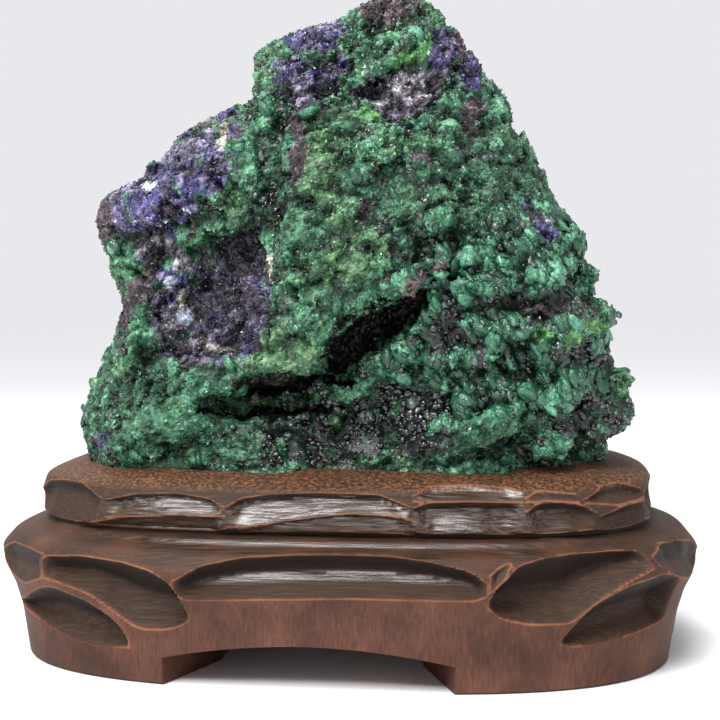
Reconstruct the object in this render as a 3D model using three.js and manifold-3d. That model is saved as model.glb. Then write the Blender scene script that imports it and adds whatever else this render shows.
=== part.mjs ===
// A malachite and azurite specimen standing in the socket of a carved hardwood stand.
// Millimetres, +Z up, +X to the right, the front faces -Y. The origin is on the floor,
// at the middle of the stand.
import * as THREE from "three";
import { mergeVertices } from "three/addons/utils/BufferGeometryUtils.js";
import { ImprovedNoise } from "three/addons/math/ImprovedNoise.js";
import Module from "manifold-3d";

const wasm = await Module();
wasm.setup();
const grain = new ImprovedNoise();

// ---- driving dimensions -------------------------------------------------------------

const SEAT_Z = 33; // floor of the socket
const SEAT_GAP = 0.3; // the specimen's cut foot lies this far above it
const SOCKET_CLEARANCE = 0.45; // between the specimen's side and the socket's wall
const SOCKET_TOP = 42; // above the whole of the stand

// Rings of the turned-out stand from the floor up: height, half width, half depth.
const RINGS = [
  [0, 62.6, 44.4],
  [9, 64, 45],
  [13.5, 65.4, 45.4],
  [17.5, 67.4, 46.2],
  [20.6, 67.8, 46.4],
  [23.2, 65.4, 44.8],
  [24.9, 61, 40.6],
  [25.6, 58.2, 37],
  [30.4, 59.8, 38.8],
  [34.2, 58.6, 37.6],
  [35.9, 54.6, 33.4],
  [37.2, 46, 25],
];
const LOWER_SQUARENESS = 2.8; // superellipse exponent of the foot and the lower moulding
const UPPER_SQUARENESS = 3.3; // the same for the table on top
const TABLE_FROM_Z = 25; // the table is what lies above this height
const STAND_SEGMENTS = 40;

// Arches between the four feet: half width at the mouth, height at the sides, at the crown.
const FRONT_ARCH = { middle: -2.8, mouth: 26.1, throat: 19, side: 4.9, crown: 8, reach: 44 };
const END_ARCH = { middle: 0, mouth: 15, throat: 12, side: 4.9, crown: 7, reach: 62 };
const ARCH_SPLAY = 20; // depth over which a mouth narrows to its throat
const ARCH_FACETS = 5; // along the passage and round its crown
const [BELOW, BEYOND] = [2, 6]; // how far the cutter runs past the floor and the stand's faces

// The leaf-shaped flutes of the lower moulding, each from end to end along its bottom.
// The same strokes are cut on the back, turned by half a turn.
const FLUTES = [
  { from: [-31, -46.4, 19.9], to: [31, -46.4, 19.9], width: 9.8, depth: 4, bow: -2.6, out: [0, -1, 0.1] },
  { from: [-58, -33, 21.8], to: [-22, -46.2, 11], width: 12, depth: 4.6, out: [-0.4, -1, 0.1] },
  { from: [-67, -17, 12.4], to: [-34, -44.6, 6], width: 8.2, depth: 3.5, out: [-0.8, -1, 0] },
  { from: [25.5, -46.2, 13.8], to: [62, -29.5, 20.4], width: 14.6, depth: 5, out: [0.45, -1, 0.1] },
  { from: [39, -44, 7.2], to: [67.5, -14, 15.2], width: 7.6, depth: 3.5, out: [0.9, -1, 0] },
];
const FLUTE_FACETS = { steps: 4, round: 9 };

// Upright scoops on the bulging ends of the lower moulding.
const END_SCOOP = { x: 67.6, y: 9.5, z: 18, length: 19, width: 14, depth: 1.6, steps: 2, round: 8 };

// Two rows of chip-carved strokes round the table's edge, of uneven length: the direction
// in degrees in which each stroke starts.
const CHIP_ROWS = [
  { z: 32.8, starts: [12, 44, 84, 124, 158, 198, 222, 242, 288, 312, 328, 346] },
  { z: 28.3, starts: [22, 58, 100, 140, 172, 206, 228, 248, 290, 313, 334, 354] },
];
const CHIP = { width: 7.6, depth: 1.9, steps: 3, round: 7 };
const CHIPPED_EDGE = { halfWidth: 59.4, halfDepth: 38, follow: 0.6, wander: 0.7, slope: 1.6 };

// The specimen grows from its middle; reach is how far its skin lies from there.
const ROCK = { x: 1, y: 0, z: 70, reach: [50, 22, 54], detail: 10, frontBias: 0.4 };
const THICKNESS = { front: 31, back: 27.5, taperFrom: 72, taperPerMm: 0.0042, roundness: 0.74 };

// Its skin is rough: the size and the height of swells, knobs and lumps, and the share of
// them that is left along the outline.
const ROUGH = {
  swells: { size: 17, height: 5 },
  knobs: { size: 7.4, height: 3.4 },
  lumps: { size: 9.5, height: 4.2, level: 0.75 },
  alongOutline: 0.25,
};

// The specimen's outline seen from the front, x and z, anticlockwise from the lower right.
// It runs on below the seat, where the foot is cut off flat.
const OUTLINE = [
  [20, 2], [43, 10], [47, 26], [48.8, 38], [50.8, 41], [55.2, 46.4], [48.2, 54.2], [51.8, 57.6],
  [49.2, 63.6], [45.9, 70.8], [45.5, 77.3], [41.1, 83.6], [38.9, 87.7], [35.8, 96.6],
  [31.5, 102.8], [28.5, 108.8], [23.5, 118.2], [17.7, 123.3], [9.6, 128], [4.1, 126.4],
  [-1.4, 120.8], [-8, 120.3], [-15.1, 118], [-21, 115.3], [-19.5, 107.7], [-26.6, 103.5],
  [-33.9, 100.3], [-39, 93.5], [-42.3, 90.5], [-46.3, 86.2], [-47.4, 82.8], [-48, 75],
  [-46.5, 69.3], [-45.1, 65.4], [-47.7, 61.5], [-48.6, 54.4], [-53.2, 41.2], [-52.2, 34], [-49, 20],
  [-43, 8], [-20, 2],
];

// Broad swellings and hollows: middle, reach along each axis, and how far the skin moves.
// An edge over 1.4 gives a form a steeper rim.
const FORMS = [
  { at: [5, -27, 86], reach: [25, 22, 22], push: [0, -6, 0] }, // the granular main mass
  { at: [-8, -27, 65], reach: [15, 16, 10], push: [0, -6.5, -1.5] }, // its lobe over the cave
  { at: [12, -27, 77], reach: [13, 14, 8], push: [0, -3.5, -1.5] },
  { at: [-34, -20, 92], reach: [15, 16, 10], push: [0, -4.5, 0] }, // the azurite shoulder
  { at: [-46, -10, 82], reach: [8, 14, 9], push: [-0.6, -4, 0] },
  { at: [-24, -27, 70], reach: [10, 14, 13], push: [0, 7.5, 0] }, // the azurite hollow
  { at: [-11, -26, 90], reach: [4, 14, 13], push: [0, 3.8, 0] }, // furrow left of the mass
  { at: [36, -22, 60], reach: [19, 18, 20], push: [0, -5, 0] }, // the bladed mass
  { at: [24, -27, 78], reach: [3.2, 14, 15], push: [0, 3, 0] }, // furrow beside the blades
  { at: [-36, -22, 45], reach: [17, 16, 10], push: [0, -4.5, 0] }, // the lower left heel
  { at: [26, -25, 42], reach: [14, 14, 8], push: [0, -4, 0] }, // the lower right heel
  { at: [1, -28, 46.5], reach: [22, 20, 7], push: [0, 8, 0], edge: 2.4 }, // under the ledge
  { at: [10, -20, 114], reach: [12, 14, 7], push: [0, -3.5, 0] }, // the crest's ledge
  { at: [15, -20, 104], reach: [11, 14, 5.5], push: [0, 4.5, 0] }, // the hollow below it
  { at: [-5, -22, 108], reach: [8, 12, 7], push: [0, -2, 0] },
  { at: [32, -18, 92], reach: [6, 12, 10], push: [0, 2.5, 0] },
  { at: [50, -6, 46], reach: [9, 14, 6], push: [1, -3, 0] }, // the spur on the right
  { at: [-20, 28, 84], reach: [20, 18, 18], push: [0, 5, 0] }, // the back
  { at: [18, 28, 96], reach: [16, 16, 12], push: [0, -5, 0] },
  { at: [24, 27, 58], reach: [22, 18, 16], push: [0, 5.5, 0] },
  { at: [-8, 28, 58], reach: [10, 16, 18], push: [0, -5, 0] },
  { at: [-40, 20, 54], reach: [16, 18, 14], push: [0, 4, 0] },
  { at: [2, 24, 112], reach: [10, 14, 8], push: [0, 4, 0] },
  { at: [-50, 16, 74], reach: [14, 10, 7], push: [5, -3, 0] }, // the ends, behind the outline
  { at: [46, 16, 72], reach: [12, 10, 16], push: [-4, -4, 0] },
  { at: [50, 14, 44], reach: [12, 12, 8], push: [-3, 2, 0] },
];

// Caves cut into the skin: middle, half sizes, and the turn in the plane of the front.
const CAVES = [
  { at: [-15, -28, 48.6], half: [13, 13, 3.2], turn: 4 },
  { at: [-2, -28, 53.5], half: [9, 12, 4.4], turn: 32 },
  { at: [8.5, -30, 63.5], half: [13, 13, 4.6], turn: 38 },
  { at: [6.8, -24, 106], half: [4.2, 8, 2], turn: 10 },
  { at: [-25, -25.5, 46.8], half: [3.6, 7, 1.4], turn: 18 },
  { at: [4, 29.5, 70], half: [12, 9, 5], turn: -24 },
  { at: [-24, 25.5, 96], half: [8, 8, 3.4], turn: 30 },
];
const CAVE_WALL = { rough: 0.3, perRadius: 1.9, fineFrom: 8.5 }; // wider caves have finer walls

// What is grown on the skin: the field it covers, its spacing, and its size.
const BOTRYOIDS = { x: [-15, 18], z: [41, 49], step: 5.4, rowStep: 0.86, radius: [2.1, 3.4] };
const BLADES = { x: [20, 46], z: [43, 73], step: 8.4, rowStep: 0.8, half: [5.9, 3, 4] };
const BLADE_TURN = { x: [-38, -14], y: [-55, -25], z: [3, 33] }; // degrees
const CRYSTALS = [
  { x: -34, z: 90, across: 12 }, // azurite clusters: middle and spread
  { x: -24, z: 66, across: 9 },
  { x: -7, z: 107, across: 6 },
  { x: 15, z: 104, across: 8 },
];
const CRYSTAL = { each: 4, size: [2.8, 5], sunk: 1, flatness: [1, 1.2, 0.7] };

// ---- small helpers ------------------------------------------------------------------

const DEG = Math.PI / 180;
const GOLDEN_ANGLE = Math.PI * (3 - Math.sqrt(5));
const FAR = 90; // past the whole piece on every side
const MERGE = 1e-4; // vertices closer than this are one
const { lerp, clamp } = THREE.MathUtils;

// A repeatable number from 0 to 1 for any three whole numbers.
function chance(i, j, k) {
  const s = Math.sin(i * 127.1 + j * 311.7 + k * 74.7) * 43758.5453;
  return s - Math.floor(s);
}

// A closed geometry as a manifold solid.
function solid(geometry) {
  const bare = new THREE.BufferGeometry()
    .setAttribute("position", geometry.getAttribute("position"))
    .setIndex(geometry.getIndex());
  const merged = mergeVertices(bare, MERGE);
  return new wasm.Manifold(
    new wasm.Mesh({
      numProp: 3,
      vertProperties: new Float32Array(merged.attributes.position.array),
      triVerts: new Uint32Array(merged.index.array),
    }),
  );
}

function geometryOf(manifold) {
  const mesh = manifold.getMesh();
  return new THREE.BufferGeometry()
    .setAttribute("position", new THREE.BufferAttribute(mesh.vertProperties, 3))
    .setIndex(new THREE.BufferAttribute(mesh.triVerts, 1));
}

// Moves every vertex of a geometry with move(vertex).
function reshape(geometry, move) {
  const position = geometry.getAttribute("position");
  const vertex = new THREE.Vector3();
  for (let i = 0; i < position.count; i++) {
    vertex.fromBufferAttribute(position, i);
    move(vertex, i);
    position.setXYZ(i, vertex.x, vertex.y, vertex.z);
  }
  return geometry;
}

// Everything between two heights.
function layer(low, high) {
  const box = new THREE.BoxGeometry(2 * FAR, 2 * FAR, high - low);
  return solid(box.translate(0, 0, (low + high) / 2));
}

// ---- the specimen -------------------------------------------------------------------

const outlineByAngle = OUTLINE.map(([x, z]) => ({
  angle: Math.atan2(z - ROCK.z, x - ROCK.x),
  radius: Math.hypot(x - ROCK.x, z - ROCK.z),
})).sort((a, b) => a.angle - b.angle);

// How far the outline lies from the middle of the specimen in one direction.
function outlineRadius(angle) {
  const last = outlineByAngle.length - 1;
  let next = outlineByAngle.findIndex((p) => p.angle > angle);
  if (next < 0) next = 0;
  const a = outlineByAngle[next === 0 ? last : next - 1];
  const b = outlineByAngle[next];
  const span = (b.angle - a.angle + 2 * Math.PI) % (2 * Math.PI);
  const along = (angle - a.angle + 2 * Math.PI) % (2 * Math.PI);
  return lerp(a.radius, b.radius, along / span);
}

// Rounded lumps, 0 in the creases and 1 on the tops, with one lump to a cell.
function lumps(x, y, z) {
  const cell = [Math.floor(x), Math.floor(y), Math.floor(z)];
  let nearest = 1;
  for (let i = -1; i <= 1; i++)
    for (let j = -1; j <= 1; j++)
      for (let k = -1; k <= 1; k++) {
        const [a, b, c] = [cell[0] + i, cell[1] + j, cell[2] + k];
        const distance = Math.hypot(
          a + chance(a, b, c) - x,
          b + chance(b, c, a) - y,
          c + chance(c, a, b) - z,
        );
        nearest = Math.min(nearest, distance);
      }
  return 1 - nearest * nearest;
}

// How far the skin stands out at a point.
function roughness({ x, y, z }) {
  const { swells, knobs, lumps: round } = ROUGH;
  return (
    swells.height * grain.noise(x / swells.size, y / swells.size, z / swells.size) +
    knobs.height * grain.noise(x / knobs.size, y / knobs.size, z / knobs.size) +
    round.height * (lumps(x / round.size, y / round.size, z / round.size) - round.level)
  );
}

// The skin of the specimen in the direction (x, y, z) of a unit ball.
function skin(direction) {
  const angle = Math.atan2(direction.z, direction.x);
  const radius = outlineRadius(angle) * Math.hypot(direction.x, direction.z);
  const z = ROCK.z + radius * Math.sin(angle);
  const side = direction.y < 0 ? THICKNESS.front : THICKNESS.back;
  const taper = 1 - THICKNESS.taperPerMm * Math.max(0, z - THICKNESS.taperFrom);
  const depth = side * taper * Math.abs(direction.y) ** THICKNESS.roundness;
  const p = new THREE.Vector3(
    ROCK.x + radius * Math.cos(angle),
    ROCK.y + Math.sign(direction.y) * depth,
    z,
  );
  const moved = p.clone();
  for (const form of FORMS) {
    const [u, v, w] = [0, 1, 2].map(
      (i) => (p.getComponent(i) - form.at[i]) / form.reach[i],
    );
    const fade = Math.exp(-((u * u + v * v + w * w) ** (form.edge ?? 1.4)));
    moved.addScaledVector(new THREE.Vector3(...form.push), fade);
  }
  const outward = new THREE.Vector3(p.x - ROCK.x, p.y - ROCK.y, p.z - ROCK.z);
  outward.divide(new THREE.Vector3(...ROCK.reach)).normalize();
  const height = roughness(p) * lerp(ROUGH.alongOutline, 1, Math.abs(direction.y));
  return moved.addScaledVector(outward, height);
}

// The point of the front skin that shows at x and z, or just inside the outline.
function frontAt(x, z) {
  const angle = Math.atan2(z - ROCK.z, x - ROCK.x);
  const share = Math.hypot(x - ROCK.x, z - ROCK.z) / outlineRadius(angle);
  const flat = Math.min(0.98, share);
  return skin(
    new THREE.Vector3(
      flat * Math.cos(angle),
      -Math.sqrt(1 - flat * flat),
      flat * Math.sin(angle),
    ),
  );
}

// A ball whose vertices stand closer together at the front, drawn out to the skin and then
// swollen by an even thickness.
function rockBody(swell = 0) {
  const ball = new THREE.IcosahedronGeometry(1, ROCK.detail);
  reshape(ball, (v) => {
    v.y -= ROCK.frontBias;
    v.copy(skin(v.normalize()));
  });
  const bare = new THREE.BufferGeometry().setAttribute("position", ball.getAttribute("position"));
  const body = mergeVertices(bare, MERGE);
  body.computeVertexNormals();
  const normal = body.getAttribute("normal");
  return reshape(body, (v, i) => {
    v.x += normal.getX(i) * swell;
    v.y += normal.getY(i) * swell;
    v.z += normal.getZ(i) * swell;
  });
}

// A cave is a rough ball that is flattened and turned in the plane of the front.
function cave({ at, half, turn }, index) {
  const { rough, perRadius, fineFrom } = CAVE_WALL;
  const ball = new THREE.IcosahedronGeometry(1, half[0] > fineFrom ? 2 : 1);
  reshape(ball, (v) => {
    const at = v.clone().multiplyScalar(perRadius);
    v.multiplyScalar(1 + rough * grain.noise(at.x + 7 * index, at.y, at.z));
    v.multiply(new THREE.Vector3(...half));
  });
  return solid(ball.rotateY(-turn * DEG).translate(...at));
}

// Points of the front skin in staggered, uneven rows, each with its row and its place in it.
function field({ x, z, step, rowStep }) {
  const points = [];
  for (let row = 0; z[0] + row * step * rowStep <= z[1]; row++)
    for (let i = 0; x[0] + i * step <= x[1]; i++) {
      const px = x[0] + (i + 0.5 * (row % 2) + 0.4 * chance(row, i, 1)) * step;
      const pz = z[0] + (row * rowStep + 0.3 * chance(row, i, 2)) * step;
      points.push({ row, i, seat: frontAt(px, pz) });
    }
  return points;
}

// Small grape-like balls that crowd the recess under the ledge.
function botryoids() {
  return field(BOTRYOIDS).map(({ row, i, seat }) => {
    const radius = lerp(...BOTRYOIDS.radius, chance(row, i, 3));
    const ball = new THREE.DodecahedronGeometry(radius).rotateX(chance(row, i, 4));
    return solid(ball.translate(seat.x, seat.y, seat.z));
  });
}

// Flat overlapping scales of fibrous malachite, each tipped over the one below.
function blades() {
  return field(BLADES).map(({ row, i, seat }) => {
    const size = lerp(0.75, 1.25, chance(row, i, 5));
    const [a, b, c] = Object.values(BLADE_TURN).map((range, k) =>
      lerp(...range, chance(row, i, 6 + k)),
    );
    const scale = new THREE.IcosahedronGeometry(size).scale(...BLADES.half);
    scale.rotateZ(c * DEG).rotateY(b * DEG).rotateX(a * DEG);
    return solid(scale.translate(seat.x, seat.y, seat.z));
  });
}

// Stout azurite crystals with flat faces, crowded in their clusters.
function crystals() {
  return CRYSTALS.flatMap(({ x, z, across }, cluster) =>
    Array.from({ length: CRYSTAL.each }, (_, i) => {
      const out = across * Math.sqrt((i + 0.5) / CRYSTAL.each);
      const turn = i * GOLDEN_ANGLE;
      const seat = frontAt(x + out * Math.cos(turn), z + 0.8 * out * Math.sin(turn));
      const size = lerp(...CRYSTAL.size, chance(cluster, i, 9));
      const block = new THREE.BoxGeometry(...CRYSTAL.flatness.map((share) => share * size));
      block.rotateX(turn).rotateY(cluster + 2 * turn).rotateZ(3 * turn);
      return solid(block.translate(seat.x, seat.y + CRYSTAL.sunk, seat.z));
    }),
  );
}

function specimen() {
  const grown = [...botryoids(), ...blades(), ...crystals()];
  return wasm.Manifold.union([solid(rockBody()), ...grown])
    .subtract(wasm.Manifold.union(CAVES.map(cave)))
    .subtract(layer(-FAR, SEAT_Z + SEAT_GAP));
}

// The specimen's own foot, a little larger, which is what the socket is cut to.
function socketCutter() {
  return solid(rockBody(SOCKET_CLEARANCE)).intersect(layer(SEAT_Z, SOCKET_TOP));
}

// ---- the stand ----------------------------------------------------------------------

// A superellipse's radius in the direction of an angle.
function planRadius(angle, halfWidth, halfDepth, squareness) {
  const c = Math.abs(Math.cos(angle) / halfWidth) ** squareness;
  const s = Math.abs(Math.sin(angle) / halfDepth) ** squareness;
  return (c + s) ** (-1 / squareness);
}

// The rings spun round the middle, then drawn out to the squarish plan of each ring.
function standBlank() {
  const profile = [
    new THREE.Vector2(0, RINGS[0][0]),
    ...RINGS.map(([z]) => new THREE.Vector2(1, z)),
    new THREE.Vector2(0, RINGS.at(-1)[0]),
  ];
  const blank = new THREE.LatheGeometry(profile, STAND_SEGMENTS).rotateX(Math.PI / 2);
  return solid(
    reshape(blank, (v, i) => {
      const ring = RINGS[(i % profile.length) - 1];
      if (!ring) return;
      const angle = Math.atan2(v.y, v.x);
      const square = ring[0] > TABLE_FROM_Z ? UPPER_SQUARENESS : LOWER_SQUARENESS;
      const radius = planRadius(angle, ring[1], ring[2], square);
      v.x = radius * Math.cos(angle);
      v.y = radius * Math.sin(angle);
    }),
  );
}

// One stroke of a gouge: a barrel a little longer than the stroke, whose belly cuts width
// and depth into a face through `at`. Its axis runs along `along`, and `out` points off the
// face. A bow bends the stroke sideways.
function gouge({ at, along, out, length, width, depth, steps, round, bow = 0 }) {
  const radius = (width * width / 4 + depth * depth) / (2 * depth);
  const end = 1.12;
  const profile = [new THREE.Vector2(0, (-end * length) / 2)];
  for (let i = 0; i <= steps; i++) {
    const s = lerp(-end, end, i / steps);
    profile.push(new THREE.Vector2(radius - depth * s * s, (s * length) / 2));
  }
  profile.push(new THREE.Vector2(0, (end * length) / 2));
  const flatInward = 1.5 * Math.PI + Math.PI / round;
  const barrel = new THREE.LatheGeometry(profile, round, flatInward);
  const axis = new THREE.Vector3(...along).normalize();
  const off = new THREE.Vector3(...out);
  off.addScaledVector(axis, -off.dot(axis)).normalize();
  const across = new THREE.Vector3().crossVectors(off, axis);
  reshape(barrel, (v) => {
    const s = (2 * v.y) / length;
    v.z += bow * s * s;
    v.x += radius - depth;
  });
  const place = new THREE.Matrix4().makeBasis(off, axis, across);
  return solid(barrel.applyMatrix4(place.setPosition(...at)));
}

function flutes() {
  const front = FLUTES.map(({ from, to, ...stroke }) => {
    const [a, b] = [new THREE.Vector3(...from), new THREE.Vector3(...to)];
    const at = a.clone().lerp(b, 0.5);
    const along = b.clone().sub(a);
    return gouge({ ...stroke, ...FLUTE_FACETS, at, along, length: along.length() });
  });
  return [...front, ...front.map((cut) => cut.rotate([0, 0, 180]))];
}

function endScoops() {
  const { x, y, z } = END_SCOOP;
  const corners = [[x, y], [x, -y], [-x, y], [-x, -y]];
  return corners.map(([a, b]) =>
    gouge({ ...END_SCOOP, at: [a, b, z], along: [0, 0, 1], out: [a, b, 0] }),
  );
}

// The point of the table's edge in a direction given in degrees.
function tableEdge(degrees) {
  const { halfWidth, halfDepth } = CHIPPED_EDGE;
  const radius = planRadius(degrees * DEG, halfWidth, halfDepth, UPPER_SQUARENESS);
  return new THREE.Vector3(radius * Math.cos(degrees * DEG), radius * Math.sin(degrees * DEG), 0);
}

function tableChips() {
  const { follow, wander, slope } = CHIPPED_EDGE;
  return CHIP_ROWS.flatMap(({ z, starts }) =>
    starts.map((start, i) => {
      const next = starts[i + 1] ?? starts[0] + 360;
      const [a, b] = [tableEdge(start), tableEdge(next)];
      const along = b.clone().sub(a);
      const length = along.length();
      const at = a.lerp(b, 0.5).lerp(tableEdge((start + next) / 2), follow);
      at.z = z + wander * (chance(i, start, 2) - 0.5);
      const out = new THREE.Vector3(along.y, -along.x, 0);
      along.z = slope * (chance(i, start, 3) - 0.5);
      return gouge({ ...CHIP, at, along, out, length });
    }),
  );
}

// The passage between two feet, splayed at both mouths, along Y.
function archPassage({ middle, mouth, throat, side, crown, reach }) {
  const shape = new THREE.Shape();
  shape.moveTo(-mouth, -BELOW).lineTo(mouth, -BELOW).lineTo(mouth, side);
  shape.quadraticCurveTo(0, 2 * crown - side, -mouth, side);
  const length = 2 * (reach + BEYOND);
  const passage = new THREE.ExtrudeGeometry(shape, {
    depth: length,
    steps: ARCH_FACETS,
    bevelEnabled: false,
    curveSegments: ARCH_FACETS,
  });
  passage.rotateX(Math.PI / 2).translate(0, length / 2, 0);
  return solid(
    reshape(passage, (v) => {
      const inward = clamp((reach - Math.abs(v.y)) / ARCH_SPLAY, 0, 1);
      v.x = middle + v.x * lerp(1, throat / mouth, inward);
    }),
  );
}

function stand() {
  const arches = [archPassage(FRONT_ARCH), archPassage(END_ARCH).rotate([0, 0, 90])];
  const cuts = [...flutes(), ...endScoops(), ...tableChips(), ...arches, socketCutter()];
  return standBlank().subtract(wasm.Manifold.union(cuts));
}

// ---- the two pieces -----------------------------------------------------------------

function piece(name, manifold, colour, roughness) {
  const material = new THREE.MeshStandardMaterial({ color: colour, roughness, metalness: 0 });
  const mesh = new THREE.Mesh(geometryOf(manifold), material);
  mesh.name = name;
  return mesh;
}

const group = new THREE.Group();
group.add(piece("wooden_stand", stand(), 0x4a332a, 0.45));
group.add(piece("malachite_specimen", specimen(), 0x2c6b4a, 0.5));

export default group;
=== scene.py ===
# A malachite and azurite specimen on a hand-carved, waxed hardwood stand.
# Sizes in the dictionaries are millimetres; the front faces -Y.
import math

import bmesh
import bpy
import numpy as np
from mathutils import Matrix, Vector, noise


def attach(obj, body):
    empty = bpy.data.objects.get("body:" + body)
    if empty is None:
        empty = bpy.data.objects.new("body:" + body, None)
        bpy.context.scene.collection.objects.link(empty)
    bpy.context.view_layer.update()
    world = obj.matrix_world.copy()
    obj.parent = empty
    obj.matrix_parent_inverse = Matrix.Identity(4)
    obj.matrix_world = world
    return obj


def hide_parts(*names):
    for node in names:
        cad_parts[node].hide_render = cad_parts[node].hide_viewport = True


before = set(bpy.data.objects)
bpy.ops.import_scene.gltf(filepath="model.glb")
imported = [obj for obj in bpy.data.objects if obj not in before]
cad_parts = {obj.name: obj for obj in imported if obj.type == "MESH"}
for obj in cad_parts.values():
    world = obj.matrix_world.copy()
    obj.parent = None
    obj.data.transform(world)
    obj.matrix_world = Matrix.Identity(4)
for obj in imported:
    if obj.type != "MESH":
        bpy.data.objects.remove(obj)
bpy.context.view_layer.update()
mm = 0.001
# noise_vector takes its seed from the clock unless it is given one
noise.seed_set(5)
# the piece is looked at from here, a little to the right of its front
viewer = (35.65, -297.88, 71.0)


# small helpers
def linear(hexColour):
    # sRGB hex to linear red, green, blue
    parts = [int(hexColour[i:i + 2], 16) / 255 for i in (1, 3, 5)]
    return [c / 12.92 if c <= 0.04045 else ((c + 0.055) / 1.055) ** 2.4 for c in parts]


def addNode(tree, kind, inputs=None, stops=None, **settings):
    # one node with its settings; an input is a value, or a (node, output) to link from
    node = tree.nodes.new(kind)
    for name, value in settings.items():
        setattr(node, name, value)
    if stops:
        ramp = node.color_ramp
        while len(ramp.elements) < len(stops):
            ramp.elements.new(0.5)
        for element, (place, colour) in zip(ramp.elements, stops):
            element.position = place
            element.color = [*linear(colour), 1] if isinstance(colour, str) else [colour] * 3 + [1]
    for name, value in (inputs or {}).items():
        socket = node.inputs[name]
        if isinstance(value, tuple) and isinstance(value[0], bpy.types.Node):
            tree.links.new(value[0].outputs[value[1]], socket)
        elif isinstance(value, str):
            socket.default_value = [*linear(value), 1]
        else:
            socket.default_value = value
    return node


def newMaterial(name):
    material = bpy.data.materials.new(name)
    material.use_nodes = True
    tree = material.node_tree
    tree.nodes.clear()
    return material, tree


def newPiece(name, mesh, material, replaced=None):
    # a finished piece on the one body, at the origin
    piece = bpy.data.objects.new(name, mesh)
    bpy.context.scene.collection.objects.link(piece)
    mesh.materials.clear()
    mesh.materials.append(material)
    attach(piece, "root")
    if replaced:
        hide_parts(replaced)
    return piece


def readPoints(mesh):
    # places of the vertices in millimetres, and their normals
    co = np.empty(len(mesh.vertices) * 3, np.float32)
    mesh.vertices.foreach_get("co", co)
    normal = np.empty(len(mesh.vertices) * 3, np.float32)
    mesh.vertex_normals.foreach_get("vector", normal)
    return co.reshape(-1, 3).astype(float) / mm, normal.reshape(-1, 3).astype(float)


def writePoints(mesh, points):
    mesh.vertices.foreach_set("co", (points * mm).astype(np.float32).ravel())
    mesh.update()


def setValues(mesh, name, values):
    # one number or one colour for each vertex
    colour = np.ndim(values) == 2
    kind = "FLOAT_COLOR" if colour else "FLOAT"
    attribute = mesh.attributes.new(name, kind, "POINT")
    if colour:
        values = np.concatenate([values, np.ones((len(values), 1))], axis=1)
    attribute.data.foreach_set("color" if colour else "value", np.float32(values).ravel())


def smoothStep(low, high, x):
    t = np.clip((x - low) / (high - low), 0, 1)
    return t * t * (3 - 2 * t)


def field(points, size, octaves=1, seed=0):
    # gradient noise from about -1 to 1 over features of one size
    shift = Vector((seed * 17.3, seed * 5.1, seed * 9.7))
    scaled = points / size
    if octaves == 1:
        return np.array([noise.noise(Vector(p) + shift) for p in scaled])
    return np.array([noise.fractal(Vector(p) + shift, 1.0, 2.0, octaves) for p in scaled])


def cells(points, size, seed=0):
    # distance to the nearest and second nearest of scattered points, in cell sizes
    shift = Vector((seed * 7.7, seed * 3.3, seed * 11.9))
    found = [noise.voronoi(Vector(p) + shift)[0][:2] for p in points / size]
    return np.array(found).T


def mergedCopy(nodeName, name):
    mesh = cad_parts[nodeName].data.copy()
    mesh.name = name
    work = bmesh.new()
    work.from_mesh(mesh)
    bmesh.ops.remove_doubles(work, verts=work.verts, dist=0.01 * mm)
    for face in work.faces:
        face.smooth = True
    work.to_mesh(mesh)
    work.free()
    return mesh


def withModifier(mesh, kind, **settings):
    # the mesh that one modifier makes of this one
    carrier = bpy.data.objects.new("carrier", mesh)
    bpy.context.scene.collection.objects.link(carrier)
    modifier = carrier.modifiers.new("made", kind)
    for name, value in settings.items():
        setattr(modifier, name, value)
    graph = bpy.context.evaluated_depsgraph_get()
    made = bpy.data.meshes.new_from_object(carrier.evaluated_get(graph))
    bpy.data.objects.remove(carrier)
    return made


# what the stone is made of: dark, middle and light colour of each mineral's grains
minerals = {
    "malachite": ("#07170e", "#22553a", "#78b68e"),
    "olive": ("#122315", "#305637", "#7da577"),
    "teal": ("#061a12", "#1e543a", "#68ae8a"),
    "velvet": ("#0a1f14", "#204b33", "#598f6f"),
    "azurite": ("#0c0921", "#262059", "#766fa8"),
    "lilac": ("#282535", "#6d6885", "#cfccdb"),
    "druse": ("#0b090f", "#2a2233", "#8d8098"),
    "black": ("#050706", "#161d1a", "#4a5853"),
    "brown": ("#131011", "#362a2e", "#786265"),
    "pale": ("#57564a", "#a8a698", "#eae8df"),
    "lime": ("#1d4a25", "#437c42", "#93c079"),
    # painted shadow: near-black colour laid in the caves and recesses
    "shadow": ("#040303", "#15110d", "#3c3328"),
    "ash": ("#242228", "#726d74", "#dcd9de"),
    # painted highlight: near-white grains laid where the azurite sparkles
    "paintedGlint": ("#7f8496", "#c3c9d8", "#f6f8fc"),
}
mineralNames = list(minerals)
mineralStops = np.array([[linear(c) for c in stops] for stops in minerals.values()])

patchForm = {
    "plane": -30,  # the front's patches are laid out on this y
    "frontFades": (17, 9),  # y from which the back's patches take over
    "waves": (2.2, 5),  # how far a patch's border wanders, and over what length
    "rag": (0.4, 1.9),  # the same for its finer ragged edge, as a share of the patch
}
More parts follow.
